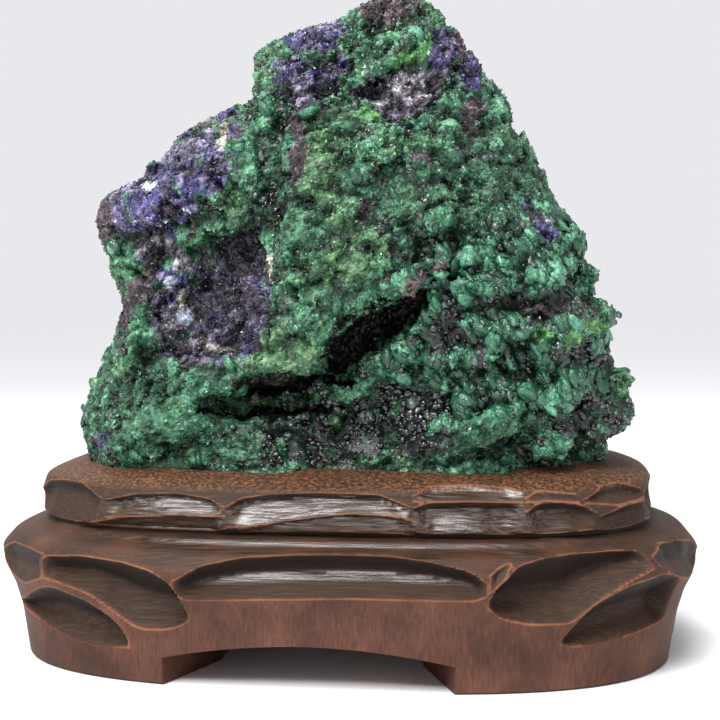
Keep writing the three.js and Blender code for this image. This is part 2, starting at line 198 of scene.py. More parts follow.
# patches on the front, as the viewer sees them:
# middle x and z, half width, half height, turn in degrees
frontPatches = {
    "olive": [
        (-8, 49.6, 7, 1.3, 3), (49, 66, 3.4, 17, 20), (41, 91, 2.6, 12, 28), (54, 50, 3, 6, 10),
        (-10, 60, 8, 4, -20), (-2, 90, 4, 12, 8), (-20, 108, 4, 5, 0), (3, 76, 7, 5, 25),
    ],
    "teal": [
        (32, 60, 17, 19, 0), (22, 70, 8, 9, 20), (40, 80, 8, 8, 0), (14, 54, 6, 5, 30),
        (30, 42, 13, 6, 12), (-8.5, 99.5, 1.6, 4.5, 8),
    ],
    "velvet": [(-20, 43, 9.5, 6, 0), (-34, 50, 6, 6, 0), (28, 43, 9, 4, 20), (-5, 80, 5, 3, 20)],
    "azurite": [
        (-28.6, 89.4, 10, 5.4, 22), (-33.8, 83.4, 8, 4.6, 10), (-23.1, 92, 4.4, 4.6, 0),
        (-30.4, 73.6, 5.6, 2.6, -30), (-25.8, 100, 5.4, 1.5, 40), (-19, 99.5, 2.2, 3.4, 10),
        (-5.1, 107.4, 5.2, 4.5, 0), (-2.4, 115.1, 5.2, 2, 15), (1.2, 110.1, 2, 1.6, 0),
        (19.4, 111.9, 3, 3.8, 0), (25.2, 109, 2.4, 4, -25), (11.6, 101.6, 1.7, 1.3, 0),
        (37.2, 81.4, 4.4, 1.7, -48), (-43.1, 41.8, 1.5, 1.5, 0), (-21.4, 57.8, 2.8, 1, 0),
    ],
    "druse": [
        (-19.3, 69.4, 6.4, 8, -20), (-20.1, 61.3, 7.2, 4.8, 10), (-27, 58.1, 4, 2.8, -30),
        (-28.6, 66, 5, 5, -30), (13.5, 103.4, 5, 1.8, 8), (-31, 84, 2.6, 1.2, 0),
    ],
    "lilac": [
        (-26.5, 94.8, 4.4, 1.6, 30), (-2.4, 116.8, 3.4, 0.9, 15), (-36.4, 87.4, 2.2, 1, 20),
        (-5.5, 103.9, 2.2, 1.6, 0),
    ],
    "ash": [(-31.5, 76.4, 5.4, 2.2, -25), (-28.6, 64.3, 2.4, 3, -30), (-23.6, 60.2, 2.6, 1.6, -30),
            (12.2, 106, 7.4, 2.6, 8), (15, 103, 2.4, 2.6, 0)],
    "brown": [
        (-42.6, 81, 2.4, 6, -14), (-36.2, 69.3, 1.5, 7, -28), (-21, 101.6, 5, 0.9, 38),
        (-6.4, 96.7, 1.7, 7.6, 6), (9.6, 119.5, 5.4, 2, 0), (24, 113.8, 2.4, 3, -40),
        (25.4, 99.9, 1.5, 4, 0), (17.7, 72.6, 6, 0.8, 25), (38, 66.6, 6, 1.2, -12),
        (17, 93, 2.4, 1, 0), (6, 84, 1.2, 2.2, 20),
    ],
    "black": [
        (3.3, 43.3, 16.4, 6, 0), (14.2, 48.3, 6, 4, 0), (42.9, 66.8, 5.6, 2, -15),
        (35.6, 63.2, 3.6, 1.1, 0), (44.3, 57.4, 5.4, 1.9, -10), (47, 46.6, 6, 4.6, 0),
        (25.8, 58.8, 1.6, 3.4, 0), (20, 62, 3, 5, -30),
    ],
    "malachite": [
        (15.1, 38.2, 10, 1.5, 0), (0.6, 43.8, 1.6, 1.8, 0), (-21.9, 79.9, 4.2, 1.3, 12),
        (-30.6, 74.2, 1.4, 1, 0), (-37.3, 74.5, 1.2, 1.9, 0), (-29.5, 97.4, 1.6, 1, 30),
        (-24.2, 86.2, 1.2, 0.8, 0),
    ],
    "pale": [
        (-12.5, 74.3, 1.5, 1.6, 0), (-19.8, 97.2, 0.9, 2.5, 0), (-20.7, 58.9, 2.4, 0.5, -15),
        (-14.4, 49.7, 1.5, 0.6, -10), (34.7, 80.9, 0.9, 0.7, 0), (-27.6, 67, 0.8, 1.6, 0),
    ],
    # painted highlight: near-white spots where the azurite face glints
    "paintedGlint": [
        (-29.7, 71.1, 1.2, 1.3, -30), (-33.5, 88.1, 1.1, 0.8, 0), (-30, 80.6, 0.6, 0.5, 0),
        (-27.2, 64.6, 1.1, 1.6, -30),
    ],
    "lime": [
        (37.6, 61.5, 1.6, 1.2, 0), (42.9, 60.5, 1.5, 1.2, 0), (46.7, 63.1, 2, 1.5, 0),
        (14.5, 111.5, 4.2, 1, 35), (6, 101, 3, 0.9, 10), (-31.6, 96.2, 1.4, 1.1, 0),
    ],
    # painted shadow: dark colour laid over the caves under the ledges
    "shadow": [
        (8.6, 64.2, 11, 3.1, 35), (1.1, 58.3, 2.8, 3.2, 0), (-7.3, 52.5, 10, 1.8, 2),
        (-10.2, 47.3, 11.4, 0.9, 3), (-24.5, 47.6, 1.4, 1, 0), (7.3, 105.9, 1.3, 0.8, 0),
    ],
}
# the same on the back, where the stone goes on in the same way
backPatches = {
    "olive": [(-36, 60, 9, 16, 10), (6, 104, 10, 8, 0), (30, 46, 12, 8, 0), (44, 78, 5, 12, 20)],
    "teal": [(-16, 52, 14, 10, 15), (30, 74, 12, 12, 0)],
    "azurite": [(8, 92, 10, 5, 25), (-22, 78, 7, 4, -20), (34, 58, 5, 4, 0), (-4, 118, 5, 3, 0)],
    "lilac": [(10, 86, 6, 2.4, 20), (-17, 74, 4, 2, 0), (36, 54, 3, 1.6, 0)],
    "druse": [(-2, 74, 9, 7, -20), (-26, 98, 6, 4, 25), (22, 92, 5, 4, 0)],
    "brown": [(-44, 80, 4, 10, 0), (16, 112, 8, 3, -20), (-8, 62, 12, 2, 12), (46, 62, 4, 8, 0)],
    "black": [(4, 44, 18, 6, 0), (-34, 44, 8, 5, 0)],
    "pale": [(-12, 88, 2, 1, 0), (26, 66, 1.6, 1, 0)],
    "lime": [(-30, 68, 4, 2, 20), (18, 80, 5, 1.6, 20), (38, 88, 2, 3, 0)],
}


def laidOut(points):
    # the front's patches lie on an upright plane and go back along lines from the viewer
    eye = np.array(viewer)
    reach = (patchForm["plane"] - eye[1]) / (points[:, 1] - eye[1])
    return eye + (points - eye) * reach[:, None]


def patchMask(points, warp, edge, spot):
    # 1 inside one patch, 0 outside, with a ragged border; small patches are ragged less
    x, z, halfWide, halfHigh, turn = spot
    reach = min(1.0, 0.25 + 0.2 * min(halfWide, halfHigh))
    wander, ragged = patchForm["waves"][0], patchForm["rag"][0]
    dx = points[:, 0] + wander * reach * warp[0] - x
    dz = points[:, 2] + wander * reach * warp[1] - z
    c, s = math.cos(math.radians(turn)), math.sin(math.radians(turn))
    u = (c * dx + s * dz) / halfWide
    v = (c * dz - s * dx) / halfHigh
    return smoothStep(1.22, 0.9, np.sqrt(u * u + v * v) + ragged * reach * edge)


def patchShares(points):
    # how much of each mineral there is at each point, one row to a mineral
    warp = np.stack([field(points, patchForm["waves"][1], 3, seed) for seed in (1, 2)])
    edge = field(points, patchForm["rag"][1], 2, 3)
    frontness = smoothStep(*patchForm["frontFades"], points[:, 1])
    shares = np.zeros((len(mineralNames), len(points)))
    shares[0] = 1
    for patches, side, places in ((frontPatches, frontness, laidOut(points)),
                                  (backPatches, 1 - frontness, points)):
        for name, spots in patches.items():
            best = np.max([patchMask(places, warp, edge, spot) for spot in spots], axis=0)
            shares *= 1 - best * side
            shares[mineralNames.index(name)] += best * side
    # within a patch other minerals come and go every few millimetres
    for source, target, size, seed, low, high, most in (
        ("azurite", "druse", 3.2, 21, 0.0, 0.25, 0.9),
        ("azurite", "lilac", 2.4, 22, 0.12, 0.34, 0.85),
        ("azurite", "malachite", 3.0, 23, 0.3, 0.45, 0.9),
        ("druse", "lilac", 2.2, 24, 0.22, 0.42, 0.7),
        ("druse", "azurite", 3.6, 25, 0.2, 0.4, 0.6),
        ("lilac", "druse", 2.0, 26, 0.0, 0.25, 0.8),
        ("ash", "druse", 1.8, 35, 0.0, 0.2, 0.85),
        ("black", "malachite", 3.4, 27, 0.22, 0.38, 0.85),
        ("teal", "black", 3.8, 28, 0.3, 0.46, 0.6),
        ("malachite", "olive", 6.0, 29, 0.05, 0.4, 0.6),
        ("malachite", "teal", 5.0, 30, 0.1, 0.4, 0.6),
        ("malachite", "brown", 2.6, 31, 0.5, 0.6, 0.7),
        ("malachite", "black", 4.2, 32, 0.36, 0.55, 0.6),
        ("olive", "lime", 2.4, 33, 0.4, 0.55, 0.5),
        ("brown", "druse", 2.2, 34, 0.1, 0.3, 0.6),
    ):
        moved = most * smoothStep(low, high, field(points, size, 2, seed)) * share(shares, source)
        shares[mineralNames.index(source)] -= moved
        shares[mineralNames.index(target)] += moved
    return shares / shares.sum(axis=0)


def share(shares, name):
    return shares[mineralNames.index(name)]


def mineralColour(pick, tone):
    # the colour of a mineral at a tone from 0, its dark end, to 1, its light end
    stops = mineralStops[pick]
    tone = tone[:, None]
    low = stops[:, 0] + (stops[:, 1] - stops[:, 0]) * np.clip(tone * 2, 0, 1)
    return low + (stops[:, 2] - stops[:, 1]) * np.clip(tone * 2 - 1, 0, 1)


# the body of the stone
stoneForm = {
    "voxel": 0.66,  # width of the skin's faces
    "seat": 33.3,  # height of the foot, in the socket
    "fadeAbove": 4.0,  # the foot keeps its size inside the socket
    "caveDepth": 4.5,  # the dark caves go in this much farther
    "bedding": (30, 15, 3.4),  # turn of the layers in degrees, their length and thickness
    "jitter": 0.11,  # roughness finer than the relief
    "standsOut": 0.8,  # the most that the relief adds
    "detailFades": (6, -4),  # y over which the front's own details come in
}
# how far each kind of relief moves the skin, and how large its forms are
relief = {
    "swell": (1.5, 12),
    "bedding": 1.1,
    "crests": (1.2, 6.5),
    "brokenFaces": (1.1, 4.4),
    "lumpyMore": 0.8,  # the satin malachite is broken deeper
    "fineFaces": (0.55, 2.0),
    "fineCrests": (0.35, 2.2),
    "creases": (1.7, 6.5),
    "warp": (1.6, 4.5),  # how far the broken faces and creases are bent, and over what length
    "sunk": 0.35,
}
# light and dark of the grains, on a scale from 0 to 1
tones = {
    "least": 0.165,
    "byGrain": 0.55,
    "byClump": (0.32, 1.3),  # how much, and how large the clumps are
    "bySide": (0.25, 5),
}
# forms finer than the solid has: middle x and z on the front, reach, and how far they move
stoneDetails = [
    (-21.9, 80.2, 7, 1.9, -2.4, 15),  # the green lip that overhangs the dark druse
    (-18, 71, 7, 8, 2.4, -15),
    (-9.5, 56.4, 11, 1.6, -2.6, 0),  # the ledge's lip over the long cave
    (13, 70.5, 11, 1.8, -2.2, 27),  # brow over the slanting cave
    (-8, 50.2, 11, 1.5, -4.0, 3),  # brown shelf between the two low caves
    (-9.5, 101, 1.6, 5, 2.6, -12),  # crevice beside the brown streak
    (13.5, 113.5, 5, 1.1, -1.4, 38),  # the bright curved ridge on the crest
    (9, 116.6, 5, 1.4, 1.2, 0),
    (-12, 90, 1.2, 10, 1.0, 8),
    (23, 80, 1.0, 12, 1.8, -10),  # long crack beside the bladed mass
    (0, 90, 7, 6, -1.4, 0),  # the granular dome
    (30, 46.6, 12, 3, -2.0, 25),  # the long slab low on the right
    (30, 41.4, 12, 1.4, 1.8, 22),
    (-34, 79.4, 8, 1.2, 1.6, 10),
    (-36, 85.4, 6, 3, -1.2, 0),
    (-30, 46, 9, 4, -1.2, 10),
    (-36, 55, 6, 2, 1.4, 30),
    (-26, 66, 3, 7, 1.2, -28),
]


def ridges(points, size, octaves, seed):
    # sharp crests between rounded hollows, from about -1 to 1
    shift = Vector((seed * 13.1, seed * 6.7, seed * 3.9))
    found = [noise.ridged_multi_fractal(Vector(p) + shift, 0.9, 2.1, octaves, 1.0, 2.0)
             for p in points / size]
    found = np.array(found)
    return np.clip((found - found.mean()) / (2 * found.std()), -1, 1.4)


def brokenFaces(points, size, seed):
    # every cell has its own tilted flat face, as broken or crystalline rock has
    shift = Vector((seed * 4.3, seed * 8.9, seed * 2.7))
    out = np.empty(len(points))
    for i, p in enumerate(points / size):
        place = Vector(p) + shift
        centre = noise.voronoi(place)[1][0]
        out[i] = (place - centre).dot(noise.noise_vector(centre * 9.7)) * 2.2
    return out


def joinedPairs(mesh):
    pairs = np.empty(len(mesh.edges) * 2, np.int32)
    mesh.edges.foreach_get("vertices", pairs)
    return pairs.reshape(-1, 2)


def spread(values, pairs, rounds):
    # the average over the neighbours, over and over
    values = values.astype(float)
    count = np.bincount(pairs.ravel(), minlength=len(values)).astype(float)
    for _ in range(rounds):
        if values.ndim == 1:
            total = np.bincount(pairs[:, 0], values[pairs[:, 1]], len(values))
            total += np.bincount(pairs[:, 1], values[pairs[:, 0]], len(values))
            values = total / count
        else:
            values = np.stack([spread(column, pairs, 1) for column in values.T], axis=1)
    return values


def mottle(points, random):
    # light and dark from grain to grain, from clump to clump and from side to side
    clump, clumpSize = tones["byClump"]
    side, sideSize = tones["bySide"]
    tone = tones["least"] + tones["byGrain"] * random.beta(1.0, 1.7, len(points))
    return tone + clump * field(points, clumpSize, 1, 13) + side * field(points, sideSize, 2, 9)


def stoneBody():
    mesh = mergedCopy("malachite_specimen", "stoneSolid")
    mesh = withModifier(mesh, "REMESH", mode="VOXEL", voxel_size=stoneForm["voxel"] * mm,
                        use_smooth_shade=True)
    mesh = withModifier(mesh, "SMOOTH", factor=0.6, iterations=6)
    points, normals = readPoints(mesh)
    low = stoneForm["seat"] + 1.5
    free = smoothStep(low, low + stoneForm["fadeAbove"], points[:, 2])
    frontness = smoothStep(*stoneForm["detailFades"], points[:, 1])
    shares = patchShares(points)
    turn, length, thickness = stoneForm["bedding"]
    c, s = math.cos(math.radians(turn)), math.sin(math.radians(turn))
    layers = np.stack([
        (c * points[:, 0] + s * points[:, 2]) / length,
        points[:, 1] / length,
        (c * points[:, 2] - s * points[:, 0]) / thickness,
    ], axis=1)
    bend, bendSize = relief["warp"]
    warped = points + bend * field(points, bendSize, 2, 4)[:, None]
    creaseDeep, creaseSize = relief["creases"]
    near, second = cells(warped, creaseSize, 1)
    crease = smoothStep(0.1, 0.0, second - near) * smoothStep(-0.1, 0.2, field(points, 9, 1, 14))
    most = stoneForm["standsOut"]
    soft = 1 - 0.55 * share(shares, "black") - 0.25 * share(shares, "druse")
    lumpy = share(shares, "teal")
    swell, swellSize = relief["swell"]
    crest, crestSize = relief["crests"]
    broken, brokenSize = relief["brokenFaces"]
    height = soft * (
        swell * field(points, swellSize, 2, 5)
        + relief["bedding"] * field(layers, 1, 3, 6)
        + crest * ridges(points, crestSize, 4, 9)
        + (broken + relief["lumpyMore"] * lumpy) * brokenFaces(warped, brokenSize, 10)
    )
    small, smallSize = relief["fineFaces"]
    sharp, sharpSize = relief["fineCrests"]
    height += (small * brokenFaces(points, smallSize, 11) + sharp * ridges(points, sharpSize, 2, 12)
               - creaseDeep * crease)
    # what stands out is held back, so that the stone keeps its outline
    height = np.where(height > 0, most * (1 - np.exp(-np.maximum(height, 0) / most)), height)
    height -= relief["sunk"]
    seen = laidOut(points)
    for x, z, wide, high, push, turn in stoneDetails:
        c, s = math.cos(math.radians(turn)), math.sin(math.radians(turn))
        dx, dz = seen[:, 0] - x, seen[:, 2] - z
        u, v = (c * dx + s * dz) / wide, (c * dz - s * dx) / high
        height -= push * frontness * np.exp(-(u * u + v * v) ** 1.3)
    cave = share(shares, "shadow") * frontness
    height *= 1 - 0.6 * cave
    random = np.random.default_rng(3)
    grit = random.normal(size=len(points)).clip(-2, 2)
    grit *= stoneForm["jitter"] * (1 - 0.8 * share(shares, "black"))
    side = random.normal(size=points.shape).clip(-2, 2) * stoneForm["jitter"]
    moved = points + normals * ((height + grit) * free)[:, None] + side * free[:, None]
    moved[:, 1] += stoneForm["caveDepth"] * cave * free
    moved[:, 2] = np.maximum(moved[:, 2], stoneForm["seat"])
    writePoints(mesh, moved)
    # how far each point lies under its surroundings, near by and farther round, used to darken the
    # hollows as painted shade
    pairs = joinedPairs(mesh)
    points, normals = readPoints(mesh)
    fine = ((spread(points, pairs, 3) - points) * normals).sum(axis=1)
    broad = ((spread(points, pairs, 40) - points) * normals).sum(axis=1)
    creviceShade = 0.5 + 0.5 * spread(broad, pairs, 2) / 1.2 + 0.35 * spread(fine, pairs, 1) / 0.25
    creviceShade = np.clip(creviceShade, 0, 1)
    # painted shade: the tone is darker where the skin lies in a hollow and lighter on crests
    tone = mottle(points, random) - 0.5 * (creviceShade - 0.4)
    tone = np.clip(tone, 0, 0.9)
    colour = sum(
        shares[i][:, None] * mineralColour(np.full(len(points), i), tone)
        for i in range(len(minerals))
    )
    setValues(mesh, "mineralColour", colour)
    setValues(mesh, "gloss", 0.8 * share(shares, "black") * random.random(len(points)))
    corners = np.empty(len(mesh.loops), np.int32)
    mesh.loops.foreach_get("vertex_index", corners)
    starts = np.empty(len(mesh.polygons), np.int32)
    mesh.polygons.foreach_get("loop_start", starts)
    smooth = share(shares, "black")[corners[starts]] > 0.5
    mesh.polygons.foreach_set("use_smooth", smooth)
    mesh.update()
    return mesh, shares, creviceShade


# the small things that grow on the stone
def template(kind, bumpy, seed, stretch=(1, 1, 1)):
    # vertices and triangles of one small closed form about one unit in radius
    work = bmesh.new()
    if kind == "grain":
        bmesh.ops.create_uvsphere(work, u_segments=4, v_segments=2, radius=1)
    elif kind == "nugget":
        bmesh.ops.create_icosphere(work, subdivisions=1, radius=1)
    elif kind == "bead":
        bmesh.ops.create_icosphere(work, subdivisions=2, radius=1)
    else:
        bmesh.ops.create_icosphere(work, subdivisions=3, radius=1)
    for vertex in work.verts:
        place = vertex.co * 1.4 + Vector((seed * 3.1, seed * 1.7, seed))
        vertex.co += vertex.co * bumpy * noise.noise(place)
        vertex.co += bumpy * 0.5 * noise.noise_vector(place * 1.9)
        vertex.co = Vector([a * b for a, b in zip(vertex.co, stretch)])
    bmesh.ops.triangulate(work, faces=work.faces)
    bmesh.ops.recalc_face_normals(work, faces=work.faces)
    work.verts.index_update()
    verts = np.array([v.co[:] for v in work.verts])
    faces = np.array([[v.index for v in f.verts] for f in work.faces])
    work.free()
    return verts, faces


def seats(mesh, weight, count, spacing, random):
    # places on the stone, picked by a weight at each vertex, with at most one to a cell
    mesh.calc_loop_triangles()
    corners = np.empty(len(mesh.loop_triangles) * 3, np.int32)
    mesh.loop_triangles.foreach_get("vertices", corners)
    corners = corners.reshape(-1, 3)
    points, normals = readPoints(mesh)
    a, b, c = (points[corners[:, i]] for i in range(3))
    area = np.linalg.norm(np.cross(b - a, c - a), axis=1) / 2
    chance = area * weight[corners].mean(axis=1)
    sums = np.cumsum(chance)
    chosen = np.searchsorted(sums, random.random(count) * sums[-1])
    r1, r2 = np.sqrt(random.random(count)), random.random(count)
    mix = np.stack([1 - r1, r1 * (1 - r2), r1 * r2], axis=1)
    place = np.einsum("ij,ijk->ik", mix, points[corners[chosen]])
    normal = np.einsum("ij,ijk->ik", mix, normals[corners[chosen]])
    normal /= np.linalg.norm(normal, axis=1)[:, None]
    cell = np.floor(place / spacing).astype(np.int64)
    key = (cell[:, 0] * 4001 + cell[:, 1]) * 4001 + cell[:, 2]
    first = np.unique(key, return_index=True)[1]
    first.sort()
    nearest = corners[chosen, np.argmax(mix, axis=1)]
    return place[first], normal[first], nearest[first]


def randomTurns(count, random):
    # evenly spread rotations from random quaternions
    q = random.normal(size=(count, 4))
    q /= np.linalg.norm(q, axis=1)[:, None]
    w, x, y, z = q.T
    rows = [
        1 - 2 * (y * y + z * z), 2 * (x * y - z * w), 2 * (x * z + y * w),
        2 * (x * y + z * w), 1 - 2 * (x * x + z * z), 2 * (y * z - x * w),
        2 * (x * z - y * w), 2 * (y * z + x * w), 1 - 2 * (x * x + y * y),
    ]
    return np.stack(rows, axis=1).reshape(-1, 3, 3)


def leaningTurns(normals, lean, random):
    # turns whose local Z stands off the skin, with local X along one direction on the skin
    up = normals + 0.35 * random.normal(size=normals.shape)
    up /= np.linalg.norm(up, axis=1)[:, None]
    along = np.cross(np.tile(lean, (len(up), 1)) + 0.3 * random.normal(size=up.shape), up)
    along /= np.linalg.norm(along, axis=1)[:, None]
    return np.stack([np.cross(along, up), along, up], axis=2)


def scatter(name, forms, place, turns, size, colour, extras, random, smooth):
    # one joined mesh of many small forms
    pick = random.integers(len(forms), size=len(place))
    verts, faces, owner = [], [], []
    start = 0
    for index, (formVerts, formFaces) in enumerate(forms):
        mine = np.nonzero(pick == index)[0]
        turned = np.einsum("nij,nvj->nvi", turns[mine], formVerts[None] * size[mine][:, None])
        verts.append((turned + place[mine][:, None]).reshape(-1, 3))
        steps = start + np.arange(len(mine)) * len(formVerts)
        faces.append((formFaces[None] + steps[:, None, None]).reshape(-1, 3))
        owner.append(np.repeat(mine, len(formVerts)))
        start += len(mine) * len(formVerts)
    verts, faces, owner = np.concatenate(verts), np.concatenate(faces), np.concatenate(owner)
    mesh = bpy.data.meshes.new(name)
    mesh.vertices.add(len(verts))
    mesh.loops.add(faces.size)
    mesh.polygons.add(len(faces))
    mesh.vertices.foreach_set("co", (verts * mm).astype(np.float32).ravel())
    mesh.polygons.foreach_set("loop_start", np.arange(0, faces.size, 3, dtype=np.int32))
    mesh.loops.foreach_set("vertex_index", faces.ravel().astype(np.int32))
    mesh.polygons.foreach_set("use_smooth", np.full(len(faces), smooth))
    mesh.update(calc_edges=True)
    mesh.validate()
    setValues(mesh, "mineralColour", colour[owner])
    for extra, values in extras.items():
        setValues(mesh, extra, values[owner])
    return mesh


def pickMinerals(shares, allowed, random):
    # one mineral for each seat, by chance from what there is
    odds = shares.copy()
    for i, name in enumerate(mineralNames):
        if name not in allowed:
            odds[i] *= 0
    odds += 1e-6 * (shares.argmax(axis=0) == np.arange(len(shares))[:, None])
    sums = np.cumsum(odds ** 1.5, axis=0)
    return (random.random(shares.shape[1]) * sums[-1] > sums).sum(axis=0).clip(0, len(shares) - 1)


# Crystalline malachite and its companions: grains of every tone with glassy facets.
def mineralFinish(name, rough, bump, grainSize, specular):
    material, tree = newMaterial(name)
    place = addNode(tree, "ShaderNodeTexCoord")
    colour = addNode(tree, "ShaderNodeAttribute", attribute_name="mineralColour")
    # clouds of tone 0.7 mm across
    clouds = addNode(tree, "ShaderNodeTexNoise",
                     {"Vector": (place, "Object"), "Scale": 1400.0, "Detail": 3.0})
    grainCells = addNode(tree, "ShaderNodeTexVoronoi",
                         {"Vector": (place, "Object"), "Scale": 1 / (grainSize * mm)})
    level = addNode(tree, "ShaderNodeMapRange",
                    {"Value": (clouds, "Fac"), "From Min": 0.3, "From Max": 0.7,
                     "To Min": 0.6, "To Max": 1.4})
    # a colour mix's sockets are taken by number, because their names repeat
    tinted = addNode(tree, "ShaderNodeMix", {0: 1.0, 6: (colour, "Color"), 7: (level, "Result")},
                     data_type="RGBA", blend_type="MULTIPLY")
    cellShade = addNode(tree, "ShaderNodeMapRange",
                        {"Value": (grainCells, "Color"), "To Min": 0.6, "To Max": 1.4})
    cellLight = addNode(tree, "ShaderNodeHueSaturation",
                        {"Color": (tinted, 2), "Value": (cellShade, "Result")})
    gloss = addNode(tree, "ShaderNodeAttribute", attribute_name="gloss")
    roughness = addNode(tree, "ShaderNodeMapRange",
                        {"Value": (gloss, "Fac"), "To Min": rough, "To Max": 0.12})
    bumps = addNode(tree, "ShaderNodeBump", {"Height": (grainCells, "Distance"), "Strength": bump,
                                              "Distance": grainSize * mm * 0.6}, invert=True)
    surface = addNode(tree, "ShaderNodeBsdfPrincipled", {
        "Base Color": (cellLight, "Color"), "Roughness": (roughness, "Result"), "IOR": 1.65,
        "Specular IOR Level": specular, "Normal": (bumps, "Normal"),
    })
    addNode(tree, "ShaderNodeOutputMaterial", {"Surface": (surface, "BSDF")})
    return material


grains = {
    "above": (34.2, 35.5),  # none in the socket
    "frontFades": (16, 8),  # y over which the front's grains come in
    "sunk": 0.08,
    # the most in a piece, their spacing, the least and the greatest radius
    "front": (23500, 0.42, (0.2, 0.44)),
    "back": (24000, 0.7, (0.3, 0.6)),
    "partsAt": 2,  # the front's grains are two pieces that meet at this x
}


def buildStone():
    body, shares, creviceShade = stoneBody()
    print("stone body", len(body.polygons), "faces")
    newPiece("stoneBody", body,
             mineralFinish("druzyMalachiteSkin", 0.5, 0.3, 0.5, 0.35), "malachite_specimen")
    random = np.random.default_rng(11)
    points = readPoints(body)[0]
    free = smoothStep(*grains["above"], points[:, 2])
    front = smoothStep(*grains["frontFades"], points[:, 1])
    bare = share(shares, "black") + share(shares, "shadow")
    granular = free * np.clip(1 - 0.9 * bare - 0.6 * share(shares, "teal"), 0.01, 1)
    right = smoothStep(-3, 3, points[:, 0] - grains["partsAt"])
    pieces = {
        "leftGrains": (front * (1 - right), *grains["front"]),
        "rightGrains": (front * right, *grains["front"]),
        "backGrains": (1 - front, *grains["back"]),
    }
    forms = [template("grain", 0.5, seed, (1, 0.8, 1.2)) for seed in range(8)]
    for name, (side, most, spacing, sizes) in pieces.items():
        place, normal, vertex = seats(body, granular * side, most * 2, spacing, random)
        place, normal, vertex = place[:most], normal[:most], vertex[:most]
        pick = pickMinerals(shares[:, vertex], mineralNames, random)
        # painted shade: grains seated in hollows are darker
        tone = np.clip(mottle(place, random) - 0.6 * (creviceShade[vertex] - 0.4), 0, 1)
        size = random.uniform(*sizes, len(place))
        gloss = random.random(len(place)) ** 3
        mesh = scatter(name, forms, place - normal * grains["sunk"], randomTurns(len(place), random),
                       size[:, None], mineralColour(pick, tone), {"gloss": gloss}, random, False)
        newPiece(name, mesh, grainFinish)
        print(name, len(mesh.polygons), "triangles")
    buildSatinLumps(body, shares, creviceShade, random)
    buildBeads(body, shares, creviceShade, random)


satin = {
    # the most of them, their spacing, the least and the greatest radius, form, stretch
    "sizes": {
        "satinLumps": (1800, 1.8, (0.65, 1.3), "bead", (1.6, 0.95, 0.6)),
        "satinChips": (6300, 0.85, (0.3, 0.65), "nugget", (1.5, 0.9, 0.6)),
    },
    "above": (34.5, 36),
    "sunk": 0.25,
    "lean": (0.45, -0.2, -0.9),  # their length runs this way on the skin
    "gloss": 0.85,
}


def buildSatinLumps(body, shares, creviceShade, random):
    # satin lumps of fibrous malachite, with small ones between the large
    points = readPoints(body)[0]
    free = smoothStep(*satin["above"], points[:, 2])
    weight = free * share(shares, "teal") + 1e-4
    for name, (most, spacing, radius, kind, stretch) in satin["sizes"].items():
        place, normal, vertex = seats(body, weight, most * 4, spacing, random)
        keep = weight[vertex] > 0.5
        place, normal, vertex = place[keep][:most], normal[keep][:most], vertex[keep][:most]
        forms = [template(kind, 0.6, seed, stretch) for seed in range(8)]
        size = random.uniform(*radius, len(place))
        tone = 0.14 + 0.5 * random.beta(1.5, 2.2, len(place)) + 0.3 * field(place, 4, 2, 15)
        # painted shade: lumps seated in hollows are darker
        tone = np.clip(tone - 0.6 * (creviceShade[vertex] - 0.4), 0.05, 0.85)
        pick = pickMinerals(shares[:, vertex] * 0.5 + 0.5 * (shares[:, vertex] > 0.4),
                            ("teal", "malachite", "olive", "lime"), random)
        turns = leaningTurns(normal, np.array(satin["lean"]), random)
        gloss = random.random(len(place)) * satin["gloss"]
        mesh = scatter(name, forms, place - normal * satin["sunk"], turns, size[:, None],
                       mineralColour(pick, tone), {"gloss": gloss}, random, kind == "bead")
        newPiece(name, mesh, satinFinish)
        print(name, len(mesh.polygons), "triangles")


beads = {
    "above": (34.5, 36),
    "tries": 8000,
    "most": 2250,
    "spacing": 0.95,
    "grapes": ((14.2, 6), (48.3, 4)),  # the largest sit here: x and z, each with its reach
    "radius": (0.3, 0.5, 0.6),  # the least, what chance adds, and what the grapes add
    "sunk": 0.1,
}


def buildBeads(body, shares, creviceShade, random):
    # glossy black grapes and beads
    points = readPoints(body)[0]
    free = smoothStep(*beads["above"], points[:, 2])
    patchy = smoothStep(-0.25, 0.1, field(points, 4, 2, 41))
    (x, wide), (z, high) = beads["grapes"]
    grapes = np.exp(-(((points[:, 0] - x) / wide) ** 2 + ((points[:, 2] - z) / high) ** 2))
    weight = free * share(shares, "black") * np.maximum(patchy, grapes) + 1e-4
    place, normal, vertex = seats(body, weight, beads["tries"], beads["spacing"], random)
    keep = np.nonzero(weight[vertex] > 0.3)[0][:beads["most"]]
    place, normal, vertex = place[keep], normal[keep], vertex[keep]
    forms = [template("bead", 0.5, seed) for seed in range(6)]
    least, byChance, byPlace = beads["radius"]
    size = least + byChance * random.random(len(place)) ** 2
    size += byPlace * grapes[vertex] * random.random(len(place))
    # painted shade: beads seated in hollows are darker
    tone = np.clip(random.random(len(place)) ** 1.5 * 0.9 - 0.5 * (creviceShade[vertex] - 0.5), 0, 0.9)
    pick = np.full(len(place), mineralNames.index("black"))
    turns = randomTurns(len(place), random)
    gloss = random.random(len(place)) ** 0.7
    mesh = scatter("blackBeads", forms, place - normal * beads["sunk"], turns, size[:, None],
                   mineralColour(pick, tone), {"gloss": gloss}, random, True)
    newPiece("blackBeads", mesh, beadFinish)
    print("blackBeads", len(mesh.polygons), "triangles")


# half-millimetre crystals, some of them with a bright facet
grainFinish = mineralFinish("malachiteGrains", 0.4, 0.1, 0.4, 0.4)
# silky where its fibres end together
satinFinish = mineralFinish("satinFibrousMalachite", 0.38, 0.5, 0.4, 0.45)
# black grapes with a wet shine
beadFinish = mineralFinish("glossyBotryoidalMalachite", 0.3, 0.2, 0.5, 0.6)

buildStone()


